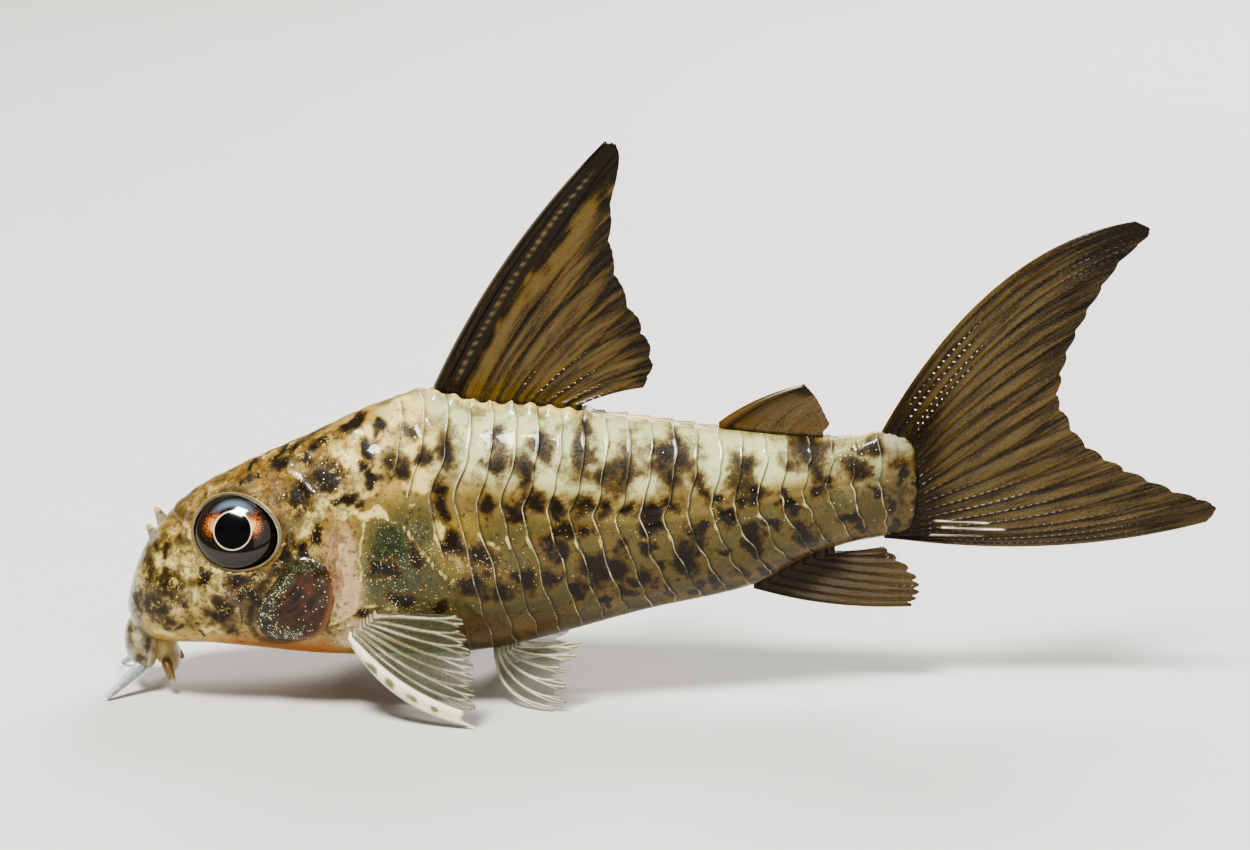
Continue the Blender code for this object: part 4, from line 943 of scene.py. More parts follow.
def fin_points(spec, side):
    """Points of a thin closed fin, with the ray and place values that its paint needs."""
    columns, rows = spec["grid"]
    u, v = np.linspace(0, 1, columns), np.linspace(0, 1, rows)
    starts, tips, bows = spec["starts"](u), read(spec["tips"], u), read(spec["bows"], u)
    bend = (starts + tips) / 2 + bows
    rays = np.array(spec["rays"])
    spine = spec.get("spine", 0.0)
    uu, vv = np.meshgrid(u, v, indexing="ij")
    chance = np.random.default_rng(spec["seed"])
    ragged = np.interp(u, np.linspace(0, 1, 90), chance.normal(0, 1, 90))
    gap = 1.0 / len(rays)
    between = np.min(np.abs(u[:, None] - rays[None, :]), axis=1) / gap * 2
    long = np.linalg.norm(tips - starts, axis=1)
    notch = (spec["notch"] * np.clip(between, 0, 1) ** 2 + 0.03 * np.abs(ragged)) * ease(u, 0.0, 0.06)
    notch = (notch / np.maximum(long, 1))[:, None]
    run = vv * (1 - np.clip(notch, 0, 0.3))
    r = run[..., None]
    points = (1 - r) ** 2 * starts[:, None] + 2 * r * (1 - r) * bend[:, None] + r**2 * tips[:, None]
    across, along = np.gradient(points, u, axis=0), np.gradient(points, v, axis=1)
    width, reach = np.linalg.norm(across, axis=-1), np.cumsum(np.linalg.norm(along, axis=-1), axis=1) / rows
    normal = np.cross(across, along)
    normal /= np.maximum(np.linalg.norm(normal, axis=-1, keepdims=True), 1e-9)
    thin = spec["ray_wide"] * (1 - 0.62 * vv)
    ray, phase = ray_field(uu, vv, rays, (width, thin), *spec["forks"])
    on_spine = ease(uu, spine * 1.05, spine * 0.9) if spine else np.zeros_like(uu)
    ray = ray * (1 - on_spine)
    left, right, beyond = uu * width, (1 - uu) * width, (1 - vv) * reach[:, -1:]
    edge = np.minimum(np.minimum(left, right), beyond)
    rounded = np.sqrt(np.clip(1 - (1 - np.clip(edge / 0.10, 0, 1)) ** 2, 0, 1))
    thick = 0.020 + spec["ray_deep"] * ray * (1 - 0.6 * vv) + spec["flare"] * np.exp(-reach / 0.7)
    if spine:
        middle = np.clip(uu / spine, 0, 1)
        ridge = spec["spine_deep"] * (1 - 0.72 * vv) * np.sqrt(np.clip(1 - (2 * middle - 1) ** 2, 0, 1))
        thick = np.maximum(thick, ridge * on_spine)
        leading = np.sqrt(np.clip(1 - (1 - np.clip(left / 0.16, 0, 1)) ** 2, 0, 1))
        rounded = np.where(on_spine > 0.5, leading * np.clip(beyond / 0.15, 0, 1) ** 0.5, rounded)
    thick = thick * rounded
    root = spec["root"](starts)[:, None] if callable(spec["root"]) else np.array(spec["root"])
    root = starts[:, None] + root
    points = np.concatenate([root, points], axis=1)
    thick = np.concatenate([np.zeros((columns, 1)), thick], axis=1)
    normal = np.concatenate([normal[:, :1], normal], axis=1)
    front, rear = points + normal * thick[..., None], points - normal * thick[..., None]
    loop = np.concatenate([front, rear[:, ::-1][:, 1:]], axis=1)
    loop[:, -1] = loop[:, 0]
    loop[0, rows + 1:] = loop[0, rows - 1::-1][:rows]
    loop[-1, rows + 1:] = loop[-1, rows - 1::-1][:rows]
    loop[..., 1] *= side
    fields = [np.concatenate([f[:, :1], f], axis=1) for f in (uu, run, ray, on_spine, phase, reach, width)]
    fields = [np.concatenate([f, f[:, ::-1][:, 1:]], axis=1) for f in fields]
    return loop, fields


def make_fin(name, spec, side, material, slot, *nodes):
    points, fields = fin_points(spec, side)
    u, v, ray, spine, phase, reach, width = fields
    uv = np.stack([u * spec["wide"], reach + phase * 3], -1)
    fin = laid_grid(name, points, uv)
    # The paint holds dark pigment, the share of painted highlights on the rays' joints, pale marks, and how
    # much the film covers
    dark, glint, cover, pale = spec["paint"](u, v, spine, points[..., 0], points[..., 2], reach, width)
    paint_points(fin, "rays", np.stack([ray, spine, 0 * ray, 0 * ray + 1], -1))
    paint_points(fin, "paint", np.stack([a * np.ones_like(u) for a in (dark, glint, pale, cover)], -1))
    close_seams(fin)
    dress(fin, material, slot, *nodes)


def level_base(start, length, edge, lift):
    """Start points of rays that stand in a row along the back or the belly."""
    def found(u):
        x = start + length * u
        return np.stack([x, 0 * x, edge(x) + lift], -1)
    return found


def tail_base(u):
    """Start points of the tail's rays, round the end of the stalk."""
    turn = np.clip((u - 0.1) / 0.82, 0, 1)
    x = STALK_END + sweep(np.full_like(u, STALK_END), turn) + 0.3
    _, z = section(np.clip(x - 0.3, SNOUT, 13.3), turn)
    upper, lower = STALK_END - 1.1 * (1 - u / 0.1), STALK_END - 0.9 * (u - 0.92) / 0.08
    x = np.where(u < 0.1, upper, np.where(u > 0.92, lower, x))
    z = np.where(u < 0.1, back(upper) + 0.1, np.where(u > 0.92, belly(lower) - 0.1, z))
    return np.stack([x, 0 * x, z], -1)


def tail_root(starts):
    """How far the tail's rays reach back into the stalk."""
    return 0.30 * (np.array([11.6, 0, 11.4]) - starts)


def dorsal_paint(u, v, spine, x, z, reach, width):
    front = ease(u, 0.27 + 0.05 * wobble(x, z, 1.2, 51), 0.16)
    step = (reach + 0.12 * wobble(x, z, 1.0, 52)) / 0.52
    beads = bump((u - 0.125) * width, 0.11) * bump(step % 1 - 0.5, 0.20)
    beads = beads * ease(v, 0.02, 0.06) * ease(v, 0.88, 0.8)
    line = bump(u - 0.082, 0.008) * ease(v, 0.0, 0.06)
    dark = np.maximum(0.62 * front, line) + 0.4 * ease(v, 0.84, 0.95) * ease(u, 0.35, 0.2)
    dark = dark + 0.25 * bump(u - 0.165, 0.02)
    dark = np.where(u < 0.078, 0.72 + 0.3 * ease(v, 0.8, 0.92), dark) - 0.45 * beads
    dark = np.maximum(dark, (0.40 + 0.2 * ease(v, 0.7, 1.0)) * ease(u, 0.2, 0.3))
    edge = bump(u, 0.012) * ease(v, 0.92, 0.85) * 0.7
    glint = 0.8 * ease(u, 0.40, 0.6) * ease(v, 0.72, 0.3) * ease(v, 0.02, 0.12)
    cover = 0.86 + 0.12 * np.maximum(front, ease(u, 0.09, 0.075)) + 0.1 * ease(v, 0.2, 0.0)
    return dark, glint, cover, np.maximum(0.75 * beads * (0.8 + 0.2 * wobble(x, z, 0.8, 53)), edge)


def adipose_paint(u, v, spine, x, z, reach, width):
    dark = 0.30 + 0.6 * ease(v, 0.75, 0.95) * ease(u, 0.6, 0.1) + 0.25 * spine
    return dark, 0.2 + 0.6 * spine, 0.84 + 0.1 * ease(u, 0.5, 0.0), 0.10 * bump(u - 0.05, 0.04)


def anal_paint(u, v, spine, x, z, reach, width):
    dark = 0.22 + 0.50 * ease(v, 0.50, 0.05)
    return dark, 0.12 + 0.6 * ease(v, 0.7, 0.95) * ease(u, 0.2, 0.6), 0.80 + 0.1 * ease(v, 0.4, 0.0), 0 * u


def tail_paint(u, v, spine, x, z, reach, width):
    dark = 0.36 + 0.22 * ease(v, 0.25, 0.0) + 0.22 * ease(v, 0.55, 0.95) * ease(u, 0.5, 0.1)
    upper = ease(u, 0.21, 0.17) * ease(u, 0.03, 0.06) * ease(v, 0.02, 0.06) * ease(v, 0.58, 0.25)
    # The pale share is the painted highlight on the tail's lowest rays
    return dark, 1.05 * upper + 0.05, 0.84 + 0.1 * ease(v, 0.3, 0.0), strokes(x, z, TAIL_LIGHTS)


def pectoral_paint(u, v, spine, x, z, reach, width):
    rims = spine * np.maximum(bump(u, 0.035), bump(u - 0.17, 0.03))
    dashes = spine * bump(u - 0.088, 0.055) * np.clip(0.30 + 0.5 * wobble(x, z, 0.5, 61), 0, 0.8)
    cover = 0.34 + 0.5 * spine + 0.2 * ease(v, 0.3, 0.0)
    return 0.10 + 0.16 * (1 - spine) + 0.9 * dashes, 0.30 + 0 * u, cover, 0.9 * rims


def pelvic_paint(u, v, spine, x, z, reach, width):
    return 0.10 + 0 * u, 0.25 + 0.4 * ease(u, 0.4, 0.0), 0.34 + 0.2 * ease(v, 0.3, 0.0), 0 * u


def make_dorsal_fin():
    spec = dict(
        starts=level_base(-12.55, 8.15, back, 0.35), tips=DORSAL_TIPS, bows=DORSAL_BOWS, grid=(200, 130),
        rays=[0.20, 0.315, 0.43, 0.545, 0.66, 0.775, 0.885, 0.975], spine=0.085, spine_deep=0.36, notch=0.28,
        ray_wide=0.13, ray_deep=0.11, forks=(0.42, 0.72), flare=0.20, root=(0, 0, -1.0), seed=3, wide=8.0,
        paint=dorsal_paint)
    make_fin("dorsal_sail", spec, 1, film("smoky_fin_film", "dorsal"), "dorsal_fin_film", "dorsal_fin")


def make_small_fins():
    material = film("brown_fin_film", "clear")
    spec = dict(
        starts=level_base(3.10, 5.75, back, 0.30), tips=ADIPOSE_TIPS, bows=ADIPOSE_BOWS, grid=(90, 50),
        rays=[0.5], spine=0.16, spine_deep=0.30, notch=0.0, ray_wide=0.02, ray_deep=0.0, forks=(0.4, 0.7),
        flare=0.20, root=(0, 0, -0.9), seed=4, wide=4.0, paint=adipose_paint)
    make_fin("adipose_flap", spec, 1, material, "clear_fin_film", "adipose_fin")
    spec = dict(
        starts=level_base(5.10, 4.50, belly, -0.35), tips=ANAL_TIPS, bows=ANAL_BOWS, grid=(190, 64),
        rays=[0.03, 0.17, 0.31, 0.45, 0.59, 0.73, 0.87, 0.97], notch=0.3, ray_wide=0.12, ray_deep=0.09,
        forks=(0.40, 0.70), flare=0.20, root=(0, 0, 1.0), seed=5, wide=4.0, paint=anal_paint)
    make_fin("anal_fan", spec, 1, material, "clear_fin_film", "anal_fin")


def make_tail_fin():
    rays = [0.02, 0.05, 0.085] + [0.13 + 0.0535 * k for k in range(15)] + [0.92, 0.95, 0.98]
    spec = dict(
        starts=tail_base, tips=TAIL_TIPS, bows=TAIL_BOWS, grid=(330, 96), rays=rays, notch=0.22,
        ray_wide=0.12, ray_deep=0.10, forks=(0.35, 0.66), flare=0.30, root=tail_root, seed=6, wide=11.0,
        paint=tail_paint)
    material = film("dusky_tail_film", "tail")
    make_fin("tail_fan", spec, 1, material, "tail_fin_film", "caudal_fin_upper", "caudal_fin_lower")


def make_paired_fins():
    material = film("glassy_paired_film", "paired")
    for word, side in SIDES:
        spec = dict(
            starts=lambda u: read(PECTORAL_STARTS, u), tips=PECTORAL_TIPS, bows=PECTORAL_BOWS, grid=(200, 70),
            rays=[0.27, 0.38, 0.49, 0.60, 0.71, 0.82, 0.95], spine=0.20, spine_deep=0.42, notch=0.7,
            ray_wide=0.13, ray_deep=0.10, forks=(0.60, 0.86), flare=0.25, root=(-0.2, -1.1, 0.2), seed=11,
            wide=5.0, paint=pectoral_paint)
        make_fin("pectoral_fan_" + word, spec, side, material, "paired_fin_film", "pectoral_fin_" + word)
        spec = dict(
            starts=lambda u: read(PELVIC_STARTS, u), tips=PELVIC_TIPS, bows=PELVIC_BOWS, grid=(150, 54),
            rays=[0.05, 0.24, 0.43, 0.62, 0.81, 0.96], notch=0.7, ray_wide=0.13, ray_deep=0.10,
            forks=(0.40, 0.72), flare=0.25, root=(-0.2, -0.5, 0.9), seed=12, wide=4.0, paint=pelvic_paint)
        make_fin("pelvic_fan_" + word, spec, side, material, "paired_fin_film", "pelvic_fin_" + word)


def film(name, kind):
    """Fin membrane: a thin wet film with bony rays in it, streaked with pigment and beaded with painted glints
    of light.
    """
    colours = bpy.context.scene.catfish_fins
    tones = ("_film", "_rays", "_dark", "_pale")
    membrane, ray_tone, pigment, pale = (getattr(colours, kind + tone) for tone in tones)
    material, tree, shader = new_material(name)
    rays, paint = (add(tree, "Attribute", attribute_name=layer) for layer in ("rays", "paint"))
    ray, wanted = (add(tree, "SeparateColor", {0: layer}).node.outputs for layer in (rays, paint))
    cover = paint.node.outputs["Alpha"]
    uv = add(tree, "UVMap", uv_map="UVMap")
    place = add(tree, "TexCoord").node.outputs["Object"]

    # Streaks 0.24 mm wide and 4.2 mm long run along the rays; grain of 0.12 mm breaks them up
    stretched = add(tree, "Mapping", {"Vector": uv, "Scale": (1 / 0.24, 1 / 4.2, 1)})
    streak = add(tree, "TexNoise", {"Vector": stretched, "Scale": 1.0, "Detail": 4.0, "Roughness": 0.65})
    grain = add(tree, "TexNoise", {"Vector": place, "Scale": MM_PER_M / 0.12, "Detail": 3.0})
    streak = add(tree, "Mix", {0: 0.3, 2: streak, 3: grain})
    dark = add(tree, "Math", {0: wanted[0], 1: 0.55, 2: streak}, operation="MULTIPLY_ADD")
    dark = add(tree, "Math", {0: ray[0], 1: 0.11, 2: dark}, operation="MULTIPLY_ADD")
    rust, dark = (
        add(tree, "MapRange", {0: dark, 1: low, 2: high, 4: full}, interpolation_type="SMOOTHSTEP")
        for low, high, full in ((0.60, 0.80, 0.7), (0.68, 0.90, 1.0)))

    # Joints of the rays every 0.42 mm, some of them lit by painted highlights
    joints = add(tree, "SeparateXYZ", {0: uv}).node.outputs[1]
    for operation, value in (("MULTIPLY", 1 / 0.42), ("FRACT", 0), ("SUBTRACT", 0.5), ("ABSOLUTE", 0)):
        joints = add(tree, "Math", {0: joints, 1: value}, operation=operation)
    bead, dot, chance = (
        add(tree, "MapRange", {0: field, 1: low, 2: high})
        for field, low, high in ((joints, 0.40, 0.22), (joints, 0.14, 0.05), (streak, 0.40, 0.56)))
    thin_ray = add(tree, "Math", {0: ray[0], 1: 3.0}, operation="POWER")
    glint = add(tree, "Math", {0: dot, 1: thin_ray}, operation="MULTIPLY")
    chosen = add(tree, "Math", {0: chance, 1: wanted[1]}, operation="MULTIPLY")
    glint = add(tree, "Math", {0: glint, 1: chosen}, operation="MULTIPLY")
    glint = add(tree, "MapRange", {0: glint, 1: 0.20, 2: 0.42})

    on_ray = add(tree, "Math", {0: ray[0], 1: ray[1]}, operation="MAXIMUM")
    tone = add(tree, "MapRange", {0: grain, 1: 0.3, 2: 0.7, 3: 0.75, 4: 1.2})
    body = add(tree, "Mix", {0: on_ray, 6: membrane, 7: ray_tone}, data_type="RGBA")
    body = add(tree, "VectorMath", {0: body, 1: tone}, operation="MULTIPLY")
    for share, pigment in ((rust, colours.rust), (dark, pigment), (wanted[2], pale), (glint, colours.glint)):
        body = add(tree, "Mix", {0: share, 6: body, 7: pigment}, data_type="RGBA")

    # Rays, streaks and glints cover the most
    clear = add(tree, "MapRange", {0: on_ray, 4: 0.75})
    solid = add(tree, "Math", {0: rust, 1: 0.35}, operation="MULTIPLY")
    solid = add(tree, "Math", {0: dark, 1: 0.45, 2: solid}, operation="MULTIPLY_ADD")
    for share in (clear, glint):
        solid = add(tree, "Math", {0: solid, 1: share}, operation="MAXIMUM")
    rest = add(tree, "Math", {0: 1.0, 1: cover}, operation="SUBTRACT")
    alpha = add(tree, "Math", {0: solid, 1: rest, 2: cover}, operation="MULTIPLY_ADD")
    height = add(tree, "Math", {0: bead, 1: ray[0]}, operation="MULTIPLY")
    relief = add(tree, "Bump", {"Strength": 0.5, "Distance": 0.00004, "Height": height})
    fill(tree, shader, {
        "Base Color": body, "Roughness": 0.28, "IOR": 1.36, "Alpha": alpha, "Normal": relief,
        "Specular IOR Level": 0.25, "Coat Weight": 0.15, "Coat Roughness": 0.12,
    })
    return material


def pearly_gill_plate():
    """Bony gill plate under wet skin: red-brown, with green and white pearly glitter at front and rim."""
    colours = bpy.context.scene.catfish_skin
    material, tree, shader = new_material("pearly_gill_plate")
    place = add(tree, "TexCoord").node.outputs["Object"]
    split = add(tree, "SeparateColor", {0: add(tree, "Attribute", attribute_name="paint")}).node.outputs
    clouds = add(
        tree, "TexNoise", {"Vector": place, "Scale": MM_PER_M / 0.7, "Detail": 5.0, "Roughness": 0.65})
    mixed = add(tree, "MapRange", {0: clouds, 1: 0.35, 2: 0.65})
    brown = add(tree, "Mix", {0: mixed, 6: colours.gill_dark, 7: colours.gill_red}, data_type="RGBA")
    edge = add(tree, "Mix", {0: split[2], 6: colours.gill_rim, 7: colours.gill_pink}, data_type="RGBA")
    rim = add(tree, "Mix", {0: split[0], 6: brown, 7: edge}, data_type="RGBA")
    green = add(tree, "Math", {0: split[1], 1: mixed}, operation="MULTIPLY")
    green = add(tree, "Math", {0: green, 1: 0.55}, operation="MULTIPLY")
    rim = add(tree, "Mix", {0: green, 6: rim, 7: colours.gill_green}, data_type="RGBA")
    wanted = add(tree, "Math", {0: split[1], 1: mixed}, operation="MULTIPLY")
    wanted = add(tree, "Math", {0: wanted, 1: 0.60, 2: 0.02}, operation="MULTIPLY_ADD")
    glint, chance = glints(tree, place, 0.066, wanted, 0.25)
    hue = add(tree, "Mix", {0: chance, 6: colours.glint_green, 7: colours.edge}, data_type="RGBA")
    final = add(tree, "Mix", {0: glint, 6: rim, 7: hue}, data_type="RGBA")
    relief = add(tree, "Bump", {"Strength": 0.5, "Distance": 0.00006, "Height": clouds})
    fill(tree, shader, {
        "Roughness": 0.28, "IOR": 1.4, "Base Color": final, "Metallic": glint, "Normal": relief,
        "Specular IOR Level": 0.3, "Coat Weight": 0.35, "Coat Roughness": 0.10,
    })
    return material


def soft_lip():
    """Fleshy lips: mottled grey with whitish ridges, slightly see-through."""
    colours = bpy.context.scene.catfish_mouth
    material, tree, shader = new_material("soft_wet_lip")
    place = add(tree, "TexCoord").node.outputs["Object"]
    mottle = add(
        tree, "TexNoise", {"Vector": place, "Scale": MM_PER_M / 0.5, "Detail": 5.0, "Roughness": 0.65})
    split = add(tree, "SeparateColor", {0: add(tree, "Attribute", attribute_name="paint")}).node.outputs
    spread = add(tree, "Math", {0: split[2], 1: 0.3, 2: mottle}, operation="MULTIPLY_ADD")
    spread = add(tree, "MapRange", {0: spread, 1: 0.50, 2: 0.82})
    tone = add(tree, "Mix", {0: spread, 6: colours.lip_dark, 7: colours.lip_grey}, data_type="RGBA")
    soft = add(tree, "Math", {0: split[1], 1: 0.85}, operation="MULTIPLY")
    tone = add(tree, "Mix", {0: soft, 6: tone, 7: colours.lip_beige}, data_type="RGBA")
    tone = add(tree, "Mix", {0: split[0], 6: tone, 7: colours.lip_pale}, data_type="RGBA")
    relief = add(tree, "Bump", {"Strength": 0.4, "Distance": 0.00005, "Height": mottle})
    fill(tree, shader, {
        "Roughness": 0.35, "IOR": 1.38, "Base Color": tone, "Normal": relief, "Subsurface Weight": 0.3,
        "Subsurface Scale": 0.0006, "Coat Weight": 0.5, "Coat Roughness": 0.15,
    })
    return material


def whisker_skin():
    """Whiskers: blue-grey flesh that pales towards the tip; the lower pair is brown to its pale tip."""
    colours = bpy.context.scene.catfish_mouth
    material, tree, shader = new_material("wet_whisker_skin")
    place = add(tree, "TexCoord").node.outputs["Object"]
    split = add(tree, "SeparateColor", {0: add(tree, "Attribute", attribute_name="paint")}).node.outputs
    mottle = add(tree, "TexNoise", {"Vector": place, "Scale": MM_PER_M / 0.25, "Detail": 3.0})
    grey = add(tree, "Mix", {0: mottle, 6: colours.barbel_grey, 7: colours.barbel_pale}, data_type="RGBA")
    brown = add(tree, "Mix", {0: split[1], 6: grey, 7: colours.barbel_dark}, data_type="RGBA")
    tip = add(tree, "MapRange", {0: split[0], 1: 0.70, 2: 0.95})
    edges = add(tree, "Math", {0: split[2], 1: 0.8}, operation="MULTIPLY")
    edges = add(tree, "Math", {0: edges, 1: split[1]}, operation="SUBTRACT", use_clamp=True)
    tip = add(tree, "Math", {0: tip, 1: edges}, operation="MAXIMUM")
    final = add(tree, "Mix", {0: tip, 6: brown, 7: colours.barbel_pale}, data_type="RGBA")
    fill(tree, shader, {
        "Roughness": 0.3, "IOR": 1.38, "Base Color": final, "Subsurface Weight": 0.3,
        "Subsurface Scale": 0.0004, "Coat Weight": 0.5, "Coat Roughness": 0.12,
    })
    return material


def make_stage():
    """A pale floor that curves up behind, soft lights and the camera."""
    stage = bpy.context.scene.catfish_stage
    deselect()
    wide, deep, tall, bend = 2.4, 1.2, 1.4, 0.35
    bpy.ops.mesh.primitive_grid_add(x_subdivisions=2, y_subdivisions=60, size=1)
    floor = bpy.context.object
    floor.name = floor.data.name = "studio_floor"
    length = deep + bend * math.pi / 2 + tall
    for vert in floor.data.vertices:
        run = (vert.co.y + 0.5) * length
        angle = min(max((run - deep) / bend, 0), math.pi / 2)
        up = max(run - deep - bend * math.pi / 2, 0)
        y = min(run, deep) + bend * math.sin(angle) - 0.6
        vert.co = (vert.co.x * wide, y, bend * (1 - math.cos(angle)) + up)
    bpy.ops.object.shade_smooth()
    material, tree, shader = new_material("matt_paper_sweep")
    place = add(tree, "TexCoord").node.outputs["Object"]
    fibre = add(tree, "TexNoise", {"Vector": place, "Scale": MM_PER_M / 6, "Detail": 4.0})
    tone = add(
        tree, "Mix", {0: fibre, 6: stage.paper, 7: (*(c * 0.96 for c in stage.paper), 1)}, data_type="RGBA")
    fill(tree, shader, {
        "Roughness": 0.85, "Base Color": tone,
    })
    floor.data.materials.append(material)

    lights = (
        ("softbox_key", (-0.10, -0.13, 0.40), 0.11, stage.key_power),
        ("softbox_fill", (0.26, -0.40, 0.30), 0.50, stage.fill_power),
        ("softbox_back", (0.12, 0.30, 0.26), 0.20, stage.back_power),
    )
    for name, spot, size, power in lights:
        bpy.ops.object.light_add(type="AREA", location=spot)
        lamp = bpy.context.object
        lamp.name = lamp.data.name = name
        lamp.data.size = size
        lamp.data.energy = power
        lamp.rotation_euler = (Vector((0, 0, 0.01)) - Vector(spot)).to_track_quat("-Z", "Y").to_euler()
    world = bpy.data.worlds.new("studio_air")
    world.use_nodes = True
    world.node_tree.nodes["Background"].inputs["Color"].default_value = (*stage.paper, 1)
    world.node_tree.nodes["Background"].inputs["Strength"].default_value = stage.air
    bpy.context.scene.world = world

    aim = Vector(stage.aim)
    away = Vector((0, -math.cos(stage.elevation), math.sin(stage.elevation)))
    bpy.ops.object.camera_add(location=aim + away * stage.distance)
    camera = bpy.context.object
    camera.name = camera.data.name = "photo_camera"
    camera.rotation_euler = (math.pi / 2 - stage.elevation, 0, 0)
    camera.data.lens = stage.lens
    camera.data.sensor_width = 36
    camera.data.clip_start, camera.data.clip_end = 0.01, 10
    bpy.context.scene.camera = camera
    bpy.context.scene.view_settings.look = "AgX - Medium High Contrast"


def eye_axes(side):
    """The eyeball's own axes: along the head, out, and up."""
    return Matrix.Rotation(side * EYE_TURN, 3, "Z") @ Matrix.Rotation(side * EYE_TILT, 3, "X")


def make_eyes():
    """Glossy eyeballs. Their UV map is the place on the iris in millimetres, measured from the pupil."""
    material = glazed_eye()
    for word, side in SIDES:
        deselect()
        bpy.ops.mesh.primitive_uv_sphere_add(segments=96, ring_count=64, radius=1)
        eye = bpy.context.object
        eye.name = eye.data.name = "eyeball_" + word
        axes = np.array(eye_axes(side))
        count = len(eye.data.vertices)
        points = np.empty(count * 3, np.float32)
        eye.data.vertices.foreach_get("co", points)
        points = points.reshape(-1, 3)[:, [0, 2, 1]] * (1, 1, -1)
        middle = np.array([EYE_PLACE[0], side * EYE_PLACE[1], EYE_PLACE[2]])
        points = (points * EYE_SIZE) @ axes.T + middle
        eye.data.vertices.foreach_set("co", (points * MM).reshape(-1).astype(np.float32))
        outwards = side * math.cos(PUPIL_TURN) * math.cos(PUPIL_RISE)
        look = np.array([-math.sin(PUPIL_TURN), outwards, math.sin(PUPIL_RISE)])
        look /= np.linalg.norm(look)
        level = np.cross([0, 0, 1], look)
        level /= np.linalg.norm(level)
        rise = np.cross(look, level)
        corners = np.empty(len(eye.data.loops), np.int32)
        eye.data.loops.foreach_get("vertex_index", corners)
        apart = points[corners] - (middle + np.array([-0.10, 0, 0.10]))
        uv = np.stack([apart @ level * side, apart @ rise], -1)
        eye.data.uv_layers[0].data.foreach_set("uv", uv.reshape(-1).astype(np.float32))
        close_seams(eye)
        dress(eye, material, "wet_eye", "eye_" + word)


def make_eyelids():
    """A soft ring round each eye that covers the edge of the socket."""
    material = milky_eyelid()
    turn = np.linspace(0, 2 * math.pi, OUTLINE_POINTS)
    round_it = np.linspace(0, 2 * math.pi, LID_SIDES)
    for word, side in SIDES:
        x = EYE_PLACE[0] + 0.915 * RIM_SIZE[0] * np.cos(turn)
        z = EYE_PLACE[2] + 0.915 * RIM_SIZE[1] * np.sin(turn)
        over = ease(np.sin(turn + 0.35), -0.5, 0.7)
        path = np.stack([x, side_depth(x, z) + 0.02, z], -1)
        out = np.stack([np.cos(turn), 0 * turn, np.sin(turn)], -1)
        wide, deep = 0.085 + 0.04 * over, 0.075 + 0.02 * over
        thick = np.stack([0 * turn, 1 + 0 * turn, 0.35 + 0 * turn], -1)
        thick /= np.linalg.norm(thick, axis=1, keepdims=True)
        spread = np.cos(round_it)[None, :, None] * (out * wide[:, None])[:, None]
        points = path[:, None] + spread + np.sin(round_it)[None, :, None] * (thick * deep[:, None])[:, None]
        points[..., 1] *= side
        points[-1], points[:, -1] = points[0], points[:, 0]
        lid = laid_grid("eyelid_" + word, points)
        fold = 0.5 + 0.5 * np.cos(round_it * 2 + 0.6)
        blank = np.zeros((OUTLINE_POINTS, LID_SIDES))
        paint_points(lid, "paint", np.stack([blank + over[:, None], blank + fold, blank, blank + 1], -1))
        close_seams(lid)
        dress(lid, material, "head_skin")


def milky_eyelid():
    """Clear skin over the edge of the eye: milky white above, greenish grey below, wet."""
    colours = bpy.context.scene.catfish_skin
    material, tree, shader = new_material("milky_eyelid_skin")
    place = add(tree, "TexCoord").node.outputs["Object"]
    split = add(tree, "SeparateColor", {0: add(tree, "Attribute", attribute_name="paint")}).node.outputs
    mottle = add(tree, "TexNoise", {"Vector": place, "Scale": MM_PER_M / 0.35, "Detail": 4.0})
    white = add(tree, "Math", {0: split[0], 1: split[1]}, operation="MULTIPLY")
    white = add(tree, "Math", {0: mottle, 1: 0.5, 2: white}, operation="MULTIPLY_ADD")
    share = add(tree, "MapRange", {0: white, 1: 0.25, 2: 1.05})
    tone = add(tree, "Mix", {0: share, 6: colours.lid, 7: colours.rim}, data_type="RGBA")
    fill(tree, shader, {
        "Roughness": 0.3, "IOR": 1.38, "Base Color": tone, "Subsurface Weight": 0.2,
        "Subsurface Scale": 0.0004, "Coat Weight": 0.5, "Coat Roughness": 0.1,
    })
    return material


